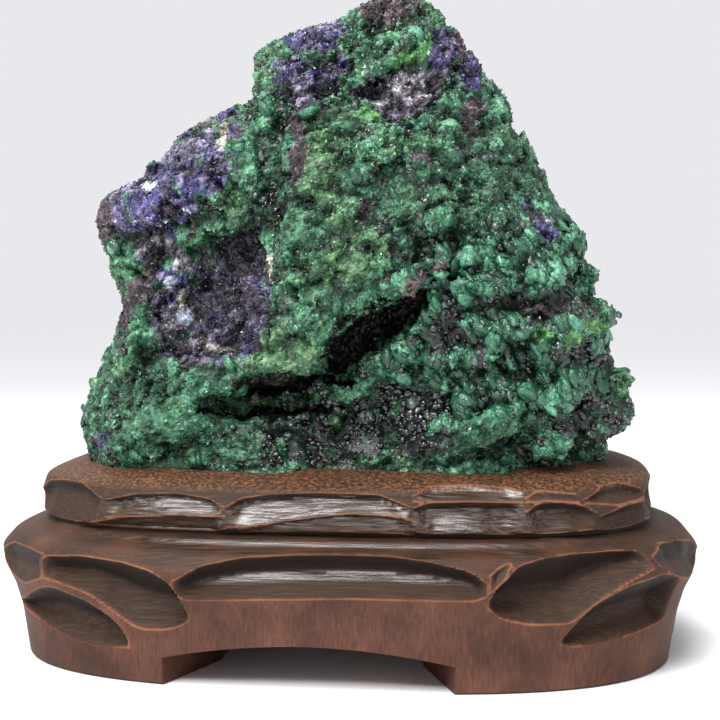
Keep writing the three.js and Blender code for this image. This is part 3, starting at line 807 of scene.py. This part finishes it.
# the carved stand
standForm = {
    # height, half width, half depth of each ring
    "rings": [
        (0, 62.6, 44.4), (9, 64, 45), (13.5, 65.4, 45.4), (17.5, 67.4, 46.2), (20.6, 67.8, 46.4),
        (23.2, 65.4, 44.4), (24, 63.2, 42.2), (24.3, 61.6, 40.1), (25.8, 60.2, 39.1),
        (25.95, 56.5, 35.4), (26.3, 56.5, 35.6), (26.9, 59.2, 38.2), (30.4, 59.8, 38.8),
        (34.2, 58.6, 37.6), (35.9, 54.6, 33.4), (37.2, 46, 25),
    ],
    "tableFrom": 25.9,  # the upper band starts here
    "lowerSquareness": 2.8,  # 2 would be an oval plan
    "upperSquareness": 3.3,
    "around": 860,  # faces round
    "cutsEach": 20,  # the blank is spun in coarse steps, each cut into this many
    "step": 0.4,  # height of a face
    "gougeOval": (60, 40),  # the gouge cuts square to an oval of this half width and half depth
    "toolMarks": (0.14, 6),  # how deep the hollows' floors wave, and over what length
    "wornWithin": 0.85,  # the wear reaches this far from an arris
    # the passages from front to back and from end to end: middle, half width at the mouths and
    # in the throat, height at the sides and the crown, the mouths' distance from the middle,
    # how far in the splay goes, turn in degrees
    "longArch": (-2.8, 26.1, 19, 4.9, 8, 44, 20, 0),
    "endArch": (0, 15, 12, 4.9, 7, 62, 20, 90),
    "socket": (33, 42),  # its floor, and a height above the stand's top
    "socketGap": 0.45,
    # bounds of zones, each as where it starts and where it is full
    "shoulder": ((20.8, 21.8), (25.95, 25.8)),
    "ledge": (23, 24),
    "riser": (24.2, 24.5),
    "band": (25.8, 25.95),
    # the undercut groove under the band, darkened as painted shade
    "groove": ((25.8, 25.95), (26.7, 26.4)),
    # wax and rubbing fade sideways between these distances from the middle
    "polishFades": (46, 32),
    "shineMiddle": 3,
    "shineFades": (30, 16),
    "riserMiddle": 6,
    "riserFades": (38, 18),
    "rimHeights": (0.5, 8.5),  # the arches' edges are rubbed between these
}
# Gouged hollows of the front, each again half a turn round: the upper and lower arris as
# (degrees round, height), the depth, and how far up the hollow is deepest.
hollows = {
    "middleFlute": (
        ((240, 18.9), (245, 21.8), (252.4, 23.2), (264.6, 23.7), (276.5, 23.8), (285.5, 23.7),
         (293.2, 23.1), (299.9, 21.7), (302.6, 19.6)),
        ((240, 17.2), (241.3, 15.6), (257, 16.2), (276.5, 16.8), (288.7, 16.7), (301, 16.6),
         (302.6, 17.6)),
        3.9, 0.54),
    "leftUpperFlute": (
        ((215, 21.3), (222, 22.1), (229.9, 21.7), (236, 20.6), (239.7, 18.4), (241, 15.2),
         (242.4, 12.3)),
        ((215, 17.3), (218.5, 16.8), (223.4, 15.6), (227.4, 13), (230.5, 10.8), (232.7, 9.8),
         (237.3, 10), (240.5, 10.8), (242.4, 12.1)),
        5.2, 0.5),
    "leftLowerFlute": (
        ((201, 10.6), (204.2, 11.4), (209, 13.6), (213.3, 15.3), (216.1, 15.9), (222, 14.5),
         (226.5, 12), (229.6, 9), (230.3, 6.6)),
        ((201, 9.9), (210, 8.5), (218, 6.4), (224.4, 5.8), (230.3, 6.2)),
        4.2, 0.5),
    "rightUpperFlute": (
        ((302.9, 16), (303.3, 17.6), (305.6, 20.4), (308.7, 22.5), (313.3, 23.4), (320.2, 23.8),
         (325.3, 23.8), (330.6, 23.5)),
        ((302.9, 15.6), (305.3, 13.4), (310.4, 12.2), (317.1, 12), (318.8, 13.2), (321.4, 16.2),
         (325.9, 18.9), (330.6, 20.6)),
        5.6, 0.5),
    "rightLowerFlute": (
        ((315.8, 8.9), (318.6, 12.6), (321.2, 15.6), (325.9, 18.2), (333, 19.4), (338, 18)),
        ((315.8, 8.4), (317.4, 7.9), (321.1, 7.7), (328.7, 8.7), (338, 10)),
        4.4, 0.5),
    "smallFacet": (((303, 20.8), (305, 22.2), (307.6, 23)),
                   ((303, 17.8), (304.8, 19.8), (307.6, 22.8)), 0.9, 0.5),
    "leftEar": (((199.4, 19.8), (203, 22), (209, 22.1), (214.6, 21.5)),
                ((199.4, 18.6), (203, 15.8), (208, 14.9), (214.6, 17.2)), 1.3, 0.5),
    "rightEar": (((332, 22.4), (337, 23.7), (343, 23.5), (350, 22.2), (355, 19.4)),
                 ((332, 21), (337, 18), (344, 16.2), (351, 16.6), (355, 18.4)), 1.5, 0.5),
    "farEar": (((357, 19.4), (361, 21.9), (367, 22.8), (374, 21.6), (378, 19.2)),
               ((357, 18.4), (362, 15.8), (368, 15), (374, 16.2), (378, 18.4)), 1.2, 0.5),
    # the upper band's scallops, two rows of them
    "cornerScallop": (((197, 31), (203, 33.4), (209, 34.2), (214, 34.2), (219.6, 31.6)),
                      ((197, 27.6), (206, 26.7), (212, 26.6), (219.6, 27.4)), 1.9, 0.7),
    "leftScallop": (((220, 31.4), (226, 32.9), (234, 33.2), (241, 32.4), (244.6, 30.9)),
                    ((220, 28.4), (231, 29.3), (244.6, 29.6)), 1.5, 0.78),
    "leftLowerScallop": (((216, 26.8), (224, 28.6), (233, 29.1), (244.6, 29.4)),
                         ((216, 26.5), (230, 26.5), (241, 26.5), (244.6, 27.2)), 0.8, 0.84),
    "middleScallop": (((244.9, 30.9), (248, 32.6), (255, 33.4), (268, 33.8), (284, 33.6),
                       (291.4, 31.6)),
                      ((244.9, 27.4), (250, 27.6), (258, 28.8), (268.6, 29.9), (276.4, 30.5),
                       (286.4, 30.2), (291.4, 29.4)), 2, 0.78),
    "middleLowerScallop": (((247, 26.9), (258, 28.6), (268.6, 29.7), (276.4, 30.3), (286.4, 30),
                            (292.8, 28.9)),
                           ((247, 26.5), (262.9, 26.9), (276.4, 27), (286.7, 26.8), (292.8, 26.5)),
                           0.9, 0.84),
    "rightBrow": (((292, 33.4), (296.2, 34.9), (306.4, 35.2), (313.6, 34.6)),
                  ((292, 32.6), (304, 32.7), (313.6, 32.5)), 0.7, 0.6),
    "rightScallop": (((291.8, 31.4), (296, 32.4), (304, 32.6), (313.4, 32.4)),
                     ((291.8, 27.6), (296, 26.8), (304, 27), (313.4, 26.6)), 1.9, 0.74),
    "cornerBrow": (((314.2, 33), (317, 34.4), (323.2, 33.6)),
                   ((314.2, 32.5), (318, 32.6), (323.2, 32.2)), 0.6, 0.5),
    "rightCornerScallop": (((313.8, 30.6), (316, 32.2), (320, 32.4), (323.6, 31.8), (326.2, 30)),
                           ((313.8, 27.2), (318, 26.6), (326.2, 27.2)), 2, 0.7),
    "endScallopHigh": (((324.4, 32.6), (329, 34.6), (334, 34.8), (339, 33.2)),
                       ((324.4, 32), (331, 31.2), (339, 31.8)), 1.3, 0.55),
    "endScallopLow": (((326.8, 29.6), (332, 31), (338.6, 31.2)),
                      ((326.8, 27), (332, 26.6), (338.6, 27)), 1.3, 0.6),
    "sideScallop": (((339.4, 32.6), (346, 34.2), (353, 34.2), (360, 32.4)),
                    ((339.4, 27.6), (350, 26.6), (360, 27.6)), 1.7, 0.6),
    "farScallop": (((360.5, 32.4), (366, 34.2), (372, 34), (376.6, 31.4)),
                   ((360.5, 27.6), (368, 26.6), (376.6, 27.6)), 1.7, 0.6),
}


def planRadius(angle, halfWidth, halfDepth, squareness):
    # from the middle to the edge of a squared oval
    c = np.abs(np.cos(angle) / halfWidth) ** squareness
    s = np.abs(np.sin(angle) / halfDepth) ** squareness
    return (c + s) ** (-1 / squareness)


def arrisHeight(degrees, knots):
    # a smooth line through the knots
    angles, heights = np.array(knots).T
    shifts = (-1, -0.5, 0, 0.5, 1)
    return np.mean([np.interp(degrees + shift, angles, heights) for shift in shifts], axis=0)


def hollowsNear(degrees):
    # every hollow and its twin on the other side, with the points that it may reach
    for upper, lower, depth, deepest in hollows.values():
        start, end = upper[0][0], upper[-1][0]
        for turn in (0, 180):
            local = (degrees - turn - start + 4) % 360 + start - 4
            near = np.nonzero(local < end + 4)[0]
            yield near, local[near], start, end, upper, lower, depth, deepest


def snapToArrises(degrees, z):
    # the nearest ring of points is moved onto each arris, so that it runs clean
    z = z.copy()
    for near, local, start, end, upper, lower, _, _ in hollowsNear(degrees):
        for knots in (upper, lower):
            height = arrisHeight(local, knots)
            hit = np.abs(z[near] - height) < standForm["step"] * 0.55
            hit &= (local > start) & (local < end)
            z[near[hit]] = height[hit]
    return z


def carve(degrees, z, around):
    # how deep the gouge went at each point, how far the point is from an arris, whether it is
    # on a hollow's steep upper wall, and how well the floor under that wall is rubbed
    cut, wall, shine = np.zeros((3, len(z)))
    arris = np.full(len(z), 2.0)
    for near, local, start, end, upper, lower, depth, deepest in hollowsNear(degrees):
        perDegree = around[near] * math.pi / 180
        high, low = arrisHeight(local, upper), arrisHeight(local, lower)
        wide = np.maximum(high - low, 0.05)
        t = (z[near] - low) / wide
        rise = np.where(t < deepest, t / deepest, (1 - t) / (1 - deepest))
        fromEnd = np.minimum(local - start, end - local) * perDegree
        full = np.clip(wide / (0.75 * max(h for _, h in upper) - 0.75 * min(h for _, h in lower)), 0, 1)
        rise = np.clip(rise, 0, 1)
        bowl = 0.4 * rise + 0.6 * np.sin(rise * math.pi / 2)
        banded = low.mean() > standForm["tableFrom"]
        if not banded:
            # a flute's floor flattens towards the foot of its wall
            floor = np.interp(rise, (0, 0.3, 0.5, 0.62, 1), (0, 0.43, 0.69, 0.8, 1))
            bowl = np.where(t < deepest, floor, bowl)
        # the bulge of the skin over the line between the arrises goes too
        skin = np.array(standForm["rings"])[:, (0, 2)].T
        t = np.clip(t, 0, 1)
        straight = np.interp(low, *skin) * (1 - t) + np.interp(high, *skin) * t
        bulge = np.maximum(np.interp(z[near], *skin) - straight, 0)
        # the band's scallops meet their neighbours at a low crest, the flutes run out
        ends = smoothStep(0, 1.6, fromEnd)
        if banded:
            ends = 0.4 * smoothStep(-0.7, 0, fromEnd) + 0.6 * smoothStep(0, 2.5, fromEnd)
        d = (depth * bowl * full ** 0.6 + bulge) * ends
        inside = (t > 0) & (t < 1) & (fromEnd > (-0.7 if banded else 0))
        cut[near] = np.maximum(cut[near], np.where(inside, d, 0))
        steep = smoothStep(deepest - 0.1, deepest + 0.08, t) * smoothStep(0, 1.2, fromEnd)
        wall[near] = np.maximum(wall[near], np.where(inside, steep, 0))
        ledge = smoothStep(deepest - 0.24, deepest - 0.14, t) * smoothStep(0, 6, fromEnd)
        ledge *= smoothStep(deepest + 0.02, deepest - 0.02, t)
        if not banded:
            shine[near] = np.maximum(shine[near], np.where(inside, ledge, 0))
        for knots, height in ((upper, high), (lower, low)):
            slope = arrisHeight(local + 0.2, knots) - arrisHeight(local - 0.2, knots)
            slope /= 0.4 * perDegree
            off = np.abs(z[near] - height) / np.sqrt(1 + slope * slope)
            off = np.hypot(off, np.maximum(-fromEnd, 0))
            arris[near] = np.minimum(arris[near], off)
        if not banded:
            ends = np.hypot(fromEnd, np.maximum(np.maximum(low - z[near], z[near] - high), 0))
            arris[near] = np.minimum(arris[near], ends)
    return cut, arris, wall, shine


def standBlank():
    rings = np.array(standForm["rings"], float)
    heights = np.linspace(0, rings[-1, 0], round(rings[-1, 0] / standForm["step"]) + 1)
    wide = np.interp(heights, rings[:, 0], rings[:, 1])
    # the moulding's corners are a little rounded
    padded = np.concatenate([[wide[0]], wide, [wide[-1]]])
    wide = np.convolve(padded, np.array([1, 2, 1]) / 4, "valid")
    profile = [(0.0, 0.0), (20.0, 0.0), (45.0, 0.0)] + list(zip(wide, heights))
    top = heights[-1]
    profile += [(wide[-1] - 3, top), (wide[-1] - 10, top), (20, top), (0, top)]
    work = bmesh.new()
    verts = [work.verts.new((r, 0, z)) for r, z in profile]
    edges = [work.edges.new(pair) for pair in zip(verts, verts[1:])]
    steps = standForm["around"] // standForm["cutsEach"]
    bmesh.ops.spin(work, geom=verts + edges, cent=(0, 0, 0), axis=(0, 0, 1), angle=2 * math.pi,
                   steps=steps, use_merge=True)
    bmesh.ops.remove_doubles(work, verts=work.verts, dist=1e-4)
    hoops = [e for e in work.edges if abs(e.verts[0].co.z - e.verts[1].co.z) < 1e-4
             and abs(e.verts[0].co.xy.length - e.verts[1].co.xy.length) < 1e-3]
    bmesh.ops.subdivide_edges(work, edges=hoops, cuts=standForm["cutsEach"] - 1)
    bmesh.ops.recalc_face_normals(work, faces=work.faces)
    mesh = bpy.data.meshes.new("standBlank")
    work.to_mesh(mesh)
    work.free()
    points = np.empty(len(mesh.vertices) * 3, np.float32)
    mesh.vertices.foreach_get("co", points)
    points = points.reshape(-1, 3).astype(float)
    angle = np.arctan2(points[:, 1], points[:, 0])
    # the finer points lie on chords, so they are brought out to the round first
    half = math.pi / steps
    radius = np.hypot(points[:, 0], points[:, 1]) * np.cos(angle % (2 * half) - half) / math.cos(half)
    rim = radius / np.interp(points[:, 2], heights, wide)
    outer = rim > 0.999
    z = points[:, 2]
    z[outer] = snapToArrises(np.degrees(angle[outer]), z[outer])
    a = np.interp(z, heights, wide)
    b = a * np.interp(z, rings[:, 0], rings[:, 2] / rings[:, 1])
    square = np.where(z > standForm["tableFrom"],
                      standForm["upperSquareness"], standForm["lowerSquareness"])
    plan = planRadius(angle, a, b, square) * rim
    points[:, 0], points[:, 1] = plan * np.cos(angle), plan * np.sin(angle)
    return mesh, points, outer


def standArch(middle, mouth, throat, side, crown, reach, splay, turn):
    # the passage between two feet, splayed at both mouths
    work = bmesh.new()
    ts = np.linspace(1, -1, 25)
    outline = [(-mouth, -2), (mouth, -2)]
    outline += [(mouth * t, side + (crown - side) * (1 - t * t)) for t in ts]
    verts = [work.verts.new((x, -reach - 6, z)) for x, z in outline]
    made = bmesh.ops.extrude_face_region(work, geom=[work.faces.new(verts)])["geom"]
    moved = [g for g in made if isinstance(g, bmesh.types.BMVert)]
    bmesh.ops.translate(work, verts=moved, vec=(0, 2 * (reach + 6), 0))
    for y in np.linspace(-reach, reach, 23):
        bmesh.ops.bisect_plane(work, geom=work.verts[:] + work.edges[:] + work.faces[:],
                               plane_co=(0, y, 0), plane_no=(0, 1, 0))
    for vertex in work.verts:
        t = min(max((reach - abs(vertex.co.y)) / splay, 0), 1)
        vertex.co.x = middle + vertex.co.x * (1 + (throat / mouth - 1) * t)
    bmesh.ops.rotate(work, verts=work.verts, cent=(0, 0, 0),
                     matrix=Matrix.Rotation(math.radians(turn), 3, "Z"))
    bmesh.ops.scale(work, verts=work.verts, vec=(mm, mm, mm))
    bmesh.ops.recalc_face_normals(work, faces=work.faces)
    mesh = bpy.data.meshes.new("arch")
    work.to_mesh(mesh)
    work.free()
    return mesh


def cutBy(mesh, cutters):
    # the mesh with each cutter taken out
    for cutter in cutters:
        holder = bpy.data.objects.new("cutter", cutter)
        bpy.context.scene.collection.objects.link(holder)
        mesh = withModifier(mesh, "BOOLEAN", object=holder, operation="DIFFERENCE",
                            solver="MANIFOLD")
        bpy.data.objects.remove(holder)
    return mesh


def socketCutter():
    # the stone's foot, a little swollen, from the socket's floor up
    mesh = mergedCopy("malachite_specimen", "socketCutter")
    points, normals = readPoints(mesh)
    points = points + normals * standForm["socketGap"]
    writePoints(mesh, points)
    work = bmesh.new()
    work.from_mesh(mesh)
    for height, side in zip(standForm["socket"], (-1, 1)):
        cut = bmesh.ops.bisect_plane(work, geom=work.verts[:] + work.edges[:] + work.faces[:],
                                     plane_co=(0, 0, height * mm), plane_no=(0, 0, side),
                                     clear_outer=True)
        rim = [g for g in cut["geom_cut"] if isinstance(g, bmesh.types.BMEdge)]
        if rim:
            bmesh.ops.holes_fill(work, edges=rim)
    bmesh.ops.recalc_face_normals(work, faces=work.faces)
    work.to_mesh(mesh)
    work.free()
    return mesh


def buildStand():
    form = standForm
    mesh, points, outer = standBlank()
    wide, deep = form["gougeOval"]
    normal = np.stack([points[:, 0] / wide ** 2, points[:, 1] / deep ** 2, np.zeros(len(points))],
                      axis=1)
    inward = -normal / np.maximum(np.linalg.norm(normal, axis=1), 1e-9)[:, None]
    skin = points[outer]
    degrees = np.degrees(np.arctan2(skin[:, 1], skin[:, 0]))
    depth, arris, wall, shine = carve(degrees, skin[:, 2], np.hypot(skin[:, 0], skin[:, 1]))
    wave, waveLength = form["toolMarks"]
    wavy = wave * field(skin, waveLength, 2, 12) * smoothStep(0.1, 0.8, depth)
    points[outer] += inward[outer] * (depth + wavy)[:, None]
    writePoints(mesh, points)
    nearArris, carved, polished, buffed, stained = np.zeros((5, len(points)))
    z = skin[:, 2]
    starts, ends = form["shoulder"]
    shoulder = smoothStep(*starts, z) * smoothStep(*ends, z)
    band = smoothStep(*form["band"], z)
    hollowed = smoothStep(0.02, 0.4, depth)
    nearArris[outer] = np.clip(1 - arris / form["wornWithin"], 0, 1)
    rubbedThrough = np.clip(0.7 + 0.9 * field(skin, 9, 3, 18), 0, 1)
    carved[outer] = np.maximum(np.maximum(hollowed, band), shoulder * rubbedThrough)
    middle = smoothStep(*form["polishFades"], np.abs(skin[:, 0]))
    shoulder *= smoothStep(*form["ledge"], z) * (1 - hollowed)
    shine *= smoothStep(*form["shineFades"], np.abs(skin[:, 0] - form["shineMiddle"]))
    polished[outer] = np.maximum(middle * np.maximum(hollowed * band, shoulder), shine)
    riser = smoothStep(*form["riser"], z) * shoulder
    riser *= smoothStep(*form["riserFades"], np.abs(skin[:, 0] - form["riserMiddle"]))
    buffed[outer] = np.maximum(0.75 * shine, 0.6 * riser)
    # painted shade goes on the hollows' steep upper walls and in the undercut groove below the band
    starts, ends = form["groove"]
    groove = smoothStep(*starts, z) * smoothStep(*ends, z)
    stained[outer] = np.maximum(wall, groove)
    setValues(mesh, "nearArris", nearArris)
    setValues(mesh, "carved", carved)
    setValues(mesh, "polished", polished)
    setValues(mesh, "buffed", buffed)
    setValues(mesh, "stained", stained)
    mesh = withModifier(mesh, "SMOOTH", factor=0.35, iterations=1)
    mesh = cutBy(mesh, [standArch(*form["longArch"]), standArch(*form["endArch"]), socketCutter()])
    # only small faces are worn, so that it doesn't smear over a large one, and the arches' sharp
    # edges are rubbed as well as the arrises
    work = bmesh.new()
    work.from_mesh(mesh)
    layer = work.verts.layers.float["nearArris"]
    worn = work.loops.layers.float.new("worn")
    sharp = {e for e in work.edges if len(e.link_faces) == 2 and e.calc_face_angle(0) > 0.7}
    low, high = (height * mm for height in form["rimHeights"])
    rim = {v for e in sharp for v in e.verts if low < v.co.z < high}
    for edge in sharp:
        edge.smooth = False
    for face in work.faces:
        face.smooth = True
        if face.calc_area() < 0.6 * mm * mm:
            for loop in face.loops:
                loop[worn] = 0.8 if loop.vert in rim else loop.vert[layer]
    work.to_mesh(mesh)
    work.free()
    newPiece("carvedStand", mesh, waxedWood(), "wooden_stand")
    print("stand", len(mesh.polygons), "faces")


# Stained, waxed hardwood: dark where it is carved, glossy with fine streaks on the upper
# band, matte red-brown where it is plain, rubbed to orange-brown along the arrises, and darkened with
# painted shade on the steep walls under the arrises and in the groove.
woodFinish = {
    "tooled": [(0.26, "#291b13"), (0.5, "#38271c"), (0.74, "#493527")],
    "plain": [(0.3, "#3a2218"), (0.52, "#4f3023"), (0.72, "#613d2d")],
    "rubbed": [(0.36, "#22150d"), (0.5, "#4a301f"), (0.63, "#825838")],
    # painted shade colour for the steep walls and the groove
    "stain": "#150d09",
    "worn": "#996041",
    "topFrom": (33.4, 34.6),
}


def waxedWood():
    material, tree = newMaterial("stainedWaxedHardwood")
    place = addNode(tree, "ShaderNodeTexCoord")
    # fibres run 9 mm along X and are under half a millimetre across
    along = addNode(tree, "ShaderNodeMapping",
                    {"Vector": (place, "Object"), "Scale": (110, 2200, 2600)})
    fibre = addNode(tree, "ShaderNodeTexNoise",
                    {"Vector": (along, "Vector"), "Scale": 1.0, "Detail": 4.0})
    # on the plain apron the nap stands upright, 2.4 mm long
    upright = addNode(tree, "ShaderNodeMapping",
                      {"Vector": (place, "Object"), "Scale": (2200, 2200, 420)})
    nap = addNode(tree, "ShaderNodeTexNoise",
                  {"Vector": (upright, "Vector"), "Scale": 1.0, "Detail": 3.0})
    # broad clouds of stain 11 mm across, and pores of two thirds of a millimetre
    broad = addNode(tree, "ShaderNodeTexNoise",
                    {"Vector": (place, "Object"), "Scale": 90.0, "Detail": 5.0})
    speck = addNode(tree, "ShaderNodeTexNoise",
                    {"Vector": (place, "Object"), "Scale": 1500.0, "Detail": 5.0, "Roughness": 0.7})
    arris = addNode(tree, "ShaderNodeAttribute", attribute_name="worn")
    carved = addNode(tree, "ShaderNodeAttribute", attribute_name="carved")
    polished = addNode(tree, "ShaderNodeAttribute", attribute_name="polished")
    tooled = addNode(tree, "ShaderNodeValToRGB", {"Fac": (fibre, "Fac")},
                     stops=woodFinish["tooled"])
    plain = addNode(tree, "ShaderNodeValToRGB", {"Fac": (broad, "Fac")},
                    stops=woodFinish["plain"])
    napped = addNode(tree, "ShaderNodeMapRange",
                     {"Value": (nap, "Fac"), "From Min": 0.3, "From Max": 0.7,
                      "To Min": 0.72, "To Max": 1.3})
    plainNap = addNode(tree, "ShaderNodeMix", {0: 1.0, 6: (plain, "Color"), 7: (napped, "Result")},
                       data_type="RGBA", blend_type="MULTIPLY")
    waxed = addNode(tree, "ShaderNodeMix",
                    {0: (carved, "Fac"), 6: (plainNap, 2), 7: (tooled, "Color")}, data_type="RGBA")
    # painted shade: the steep walls under the arrises and the undercut groove are darkened towards
    # near-black brown
    stained = addNode(tree, "ShaderNodeAttribute", attribute_name="stained")
    shadeAmount = addNode(tree, "ShaderNodeMapRange", {"Value": (stained, "Fac"), "To Max": 0.8})
    body = addNode(tree, "ShaderNodeMix",
                   {0: (shadeAmount, "Result"), 6: (waxed, 2), 7: woodFinish["stain"]}, data_type="RGBA")
    # the top and its bevel are rubbed in specks
    height = addNode(tree, "ShaderNodeSeparateXYZ", {"Vector": (place, "Object")})
    topFrom, topFull = woodFinish["topFrom"]
    topAmount = addNode(tree, "ShaderNodeMapRange", {
        "Value": (height, "Z"), "From Min": topFrom * mm, "From Max": topFull * mm,
    })
    rubbed = addNode(tree, "ShaderNodeValToRGB", {"Fac": (speck, "Fac")},
                     stops=woodFinish["rubbed"])
    withTop = addNode(tree, "ShaderNodeMix",
                      {0: (topAmount, "Result"), 6: (body, 2), 7: (rubbed, "Color")}, data_type="RGBA")
    # the wear comes and goes every 14 mm along each arris, wide in places and a hair in others
    patchy = addNode(tree, "ShaderNodeTexNoise",
                     {"Vector": (place, "Object"), "Scale": 70.0, "Detail": 7.0, "Roughness": 0.75})
    reach = addNode(tree, "ShaderNodeMath", {0: (arris, "Fac"), 1: (patchy, "Fac")}, operation="ADD")
    wear = addNode(tree, "ShaderNodeMapRange",
                   {"Value": (reach, "Value"), "From Min": 1.23, "From Max": 1.62, "To Max": 0.78})
    worn = addNode(tree, "ShaderNodeMix",
                   {0: (wear, "Result"), 6: (withTop, 2), 7: woodFinish["worn"]}, data_type="RGBA")
    streaks = addNode(tree, "ShaderNodeMapRange", {
        "Value": (fibre, "Fac"), "From Min": 0.35, "From Max": 0.65, "To Min": 0.2, "To Max": 0.5,
    })
    roughness = addNode(tree, "ShaderNodeMix",
                        {0: (polished, "Fac"), 2: 0.68, 3: (streaks, "Result")})
    burnished = addNode(tree, "ShaderNodeMapRange", {
        "Value": (fibre, "Fac"), "From Min": 0.42, "From Max": 0.6, "To Min": 0.0, "To Max": 1.0,
    })
    waxCoat = addNode(tree, "ShaderNodeMath", {0: (polished, "Fac"), 1: (burnished, "Result")},
                      operation="MULTIPLY")
    buffed = addNode(tree, "ShaderNodeAttribute", attribute_name="buffed")
    coat = addNode(tree, "ShaderNodeMath", {0: (waxCoat, "Value"), 1: (buffed, "Fac")},
                   operation="MAXIMUM")
    bumps = addNode(tree, "ShaderNodeBump",
                    {"Height": (fibre, "Fac"), "Strength": 0.5, "Distance": 0.2 * mm})
    pores = addNode(tree, "ShaderNodeBump", {
        "Height": (speck, "Fac"), "Strength": 0.3, "Distance": 0.2 * mm, "Normal": (bumps, "Normal"),
    })
    surface = addNode(tree, "ShaderNodeBsdfPrincipled", {
        "Base Color": (worn, 2), "Roughness": (roughness, 0), "IOR": 1.5, "Normal": (pores, "Normal"),
        "Specular IOR Level": 0.3, "Coat Weight": (coat, "Value"), "Coat Roughness": 0.24,
        "Coat IOR": 1.75, "Coat Normal": (pores, "Normal"),
    })
    addNode(tree, "ShaderNodeOutputMaterial", {"Surface": (surface, "BSDF")})
    return material


buildStand()


# floor, light and camera
studio = {
    "floor": "#f9f9fb",
    "world": "#f4f4f8",
    "horizon": 0.9,
    "zenith": 0.34,
    "wallsFade": (0.22, 0.6),  # heights on the sky between which the walls give way to the ceiling
    "sun": 1.8,
    "sunWidth": 28,  # in degrees
    "sunTowards": (0.25, 0.55, -1),
    # place, aim, size and watts of each softbox
    "softboxes": {
        "overhead": ((-60, -240, 520), (0, -20, 70), (300, 190), 0.6),
        "ceiling": ((-20, 40, 600), (0, -20, 40), (420, 300), 1.3),
        "window": ((-20, -470, 490), (0, -20, 40), (440, 260), 1.7),
        "glint": ((-200, -360, 330), (0, -20, 70), (60, 60), 0.8),
        "backRim": ((-220, 330, 420), (0, 0, 70), (260, 200), 0.8),
    },
    # the camera's turn and dip in degrees, and its lens
    "azimuth": 6.5,
    "pitch": 3.0,
    "lens": 75,
}


def softbox(name, place, target, size, power):
    light = bpy.data.lights.new(name, "AREA")
    light.shape = "RECTANGLE"
    light.size, light.size_y = size[0] * mm, size[1] * mm
    light.energy = power
    holder = bpy.data.objects.new(name, light)
    bpy.context.scene.collection.objects.link(holder)
    holder.location = Vector(place) * mm
    aim = Vector(target) * mm - holder.location
    holder.rotation_euler = aim.to_track_quat("-Z", "Y").to_euler()


def buildStudio():
    work = bmesh.new()
    bmesh.ops.create_grid(work, x_segments=1, y_segments=1, size=4)
    mesh = bpy.data.meshes.new("floor")
    work.to_mesh(mesh)
    work.free()
    floor = bpy.data.objects.new("floor", mesh)
    bpy.context.scene.collection.objects.link(floor)
    material, tree = newMaterial("paleFloor")
    surface = addNode(tree, "ShaderNodeBsdfPrincipled",
                      {"Base Color": studio["floor"], "Roughness": 0.6})
    addNode(tree, "ShaderNodeOutputMaterial", {"Surface": (surface, "BSDF")})
    mesh.materials.append(material)
    world = bpy.data.worlds.new("studio")
    bpy.context.scene.world = world
    world.use_nodes = True
    background = world.node_tree.nodes["Background"]
    background.inputs["Color"].default_value = [*linear(studio["world"]), 1]
    # pale walls round the horizon, a dimmer ceiling
    tree = world.node_tree
    where = addNode(tree, "ShaderNodeTexCoord")
    height = addNode(tree, "ShaderNodeSeparateXYZ", {"Vector": (where, "Generated")})
    low, high = studio["wallsFade"]
    bright = addNode(tree, "ShaderNodeMapRange", {
        "Value": (height, "Z"), "From Min": low, "From Max": high,
        "To Min": studio["horizon"], "To Max": studio["zenith"],
    })
    tree.links.new(bright.outputs["Result"], background.inputs["Strength"])
    sun = bpy.data.lights.new("softSun", "SUN")
    sun.energy = studio["sun"]
    sun.angle = math.radians(studio["sunWidth"])
    sunHolder = bpy.data.objects.new("softSun", sun)
    bpy.context.scene.collection.objects.link(sunHolder)
    towards = Vector(studio["sunTowards"])
    sunHolder.rotation_euler = towards.to_track_quat("-Z", "Y").to_euler()
    for name, (place, target, size, power) in studio["softboxes"].items():
        softbox(name, place, target, size, power)
    eye = bpy.data.cameras.new("camera")
    eye.lens = studio["lens"]
    eye.sensor_width = 36
    eye.clip_start = 0.01
    holder = bpy.data.objects.new("camera", eye)
    bpy.context.scene.collection.objects.link(holder)
    holder.location = Vector(viewer) * mm
    a, p = math.radians(studio["azimuth"]), math.radians(studio["pitch"])
    view = Vector((-math.sin(a) * math.cos(p), math.cos(a) * math.cos(p), -math.sin(p)))
    holder.rotation_euler = view.to_track_quat("-Z", "Y").to_euler()
    bpy.context.scene.camera = holder
    bpy.context.scene.view_settings.view_transform = "Standard"
    print("studio ready")


buildStudio()
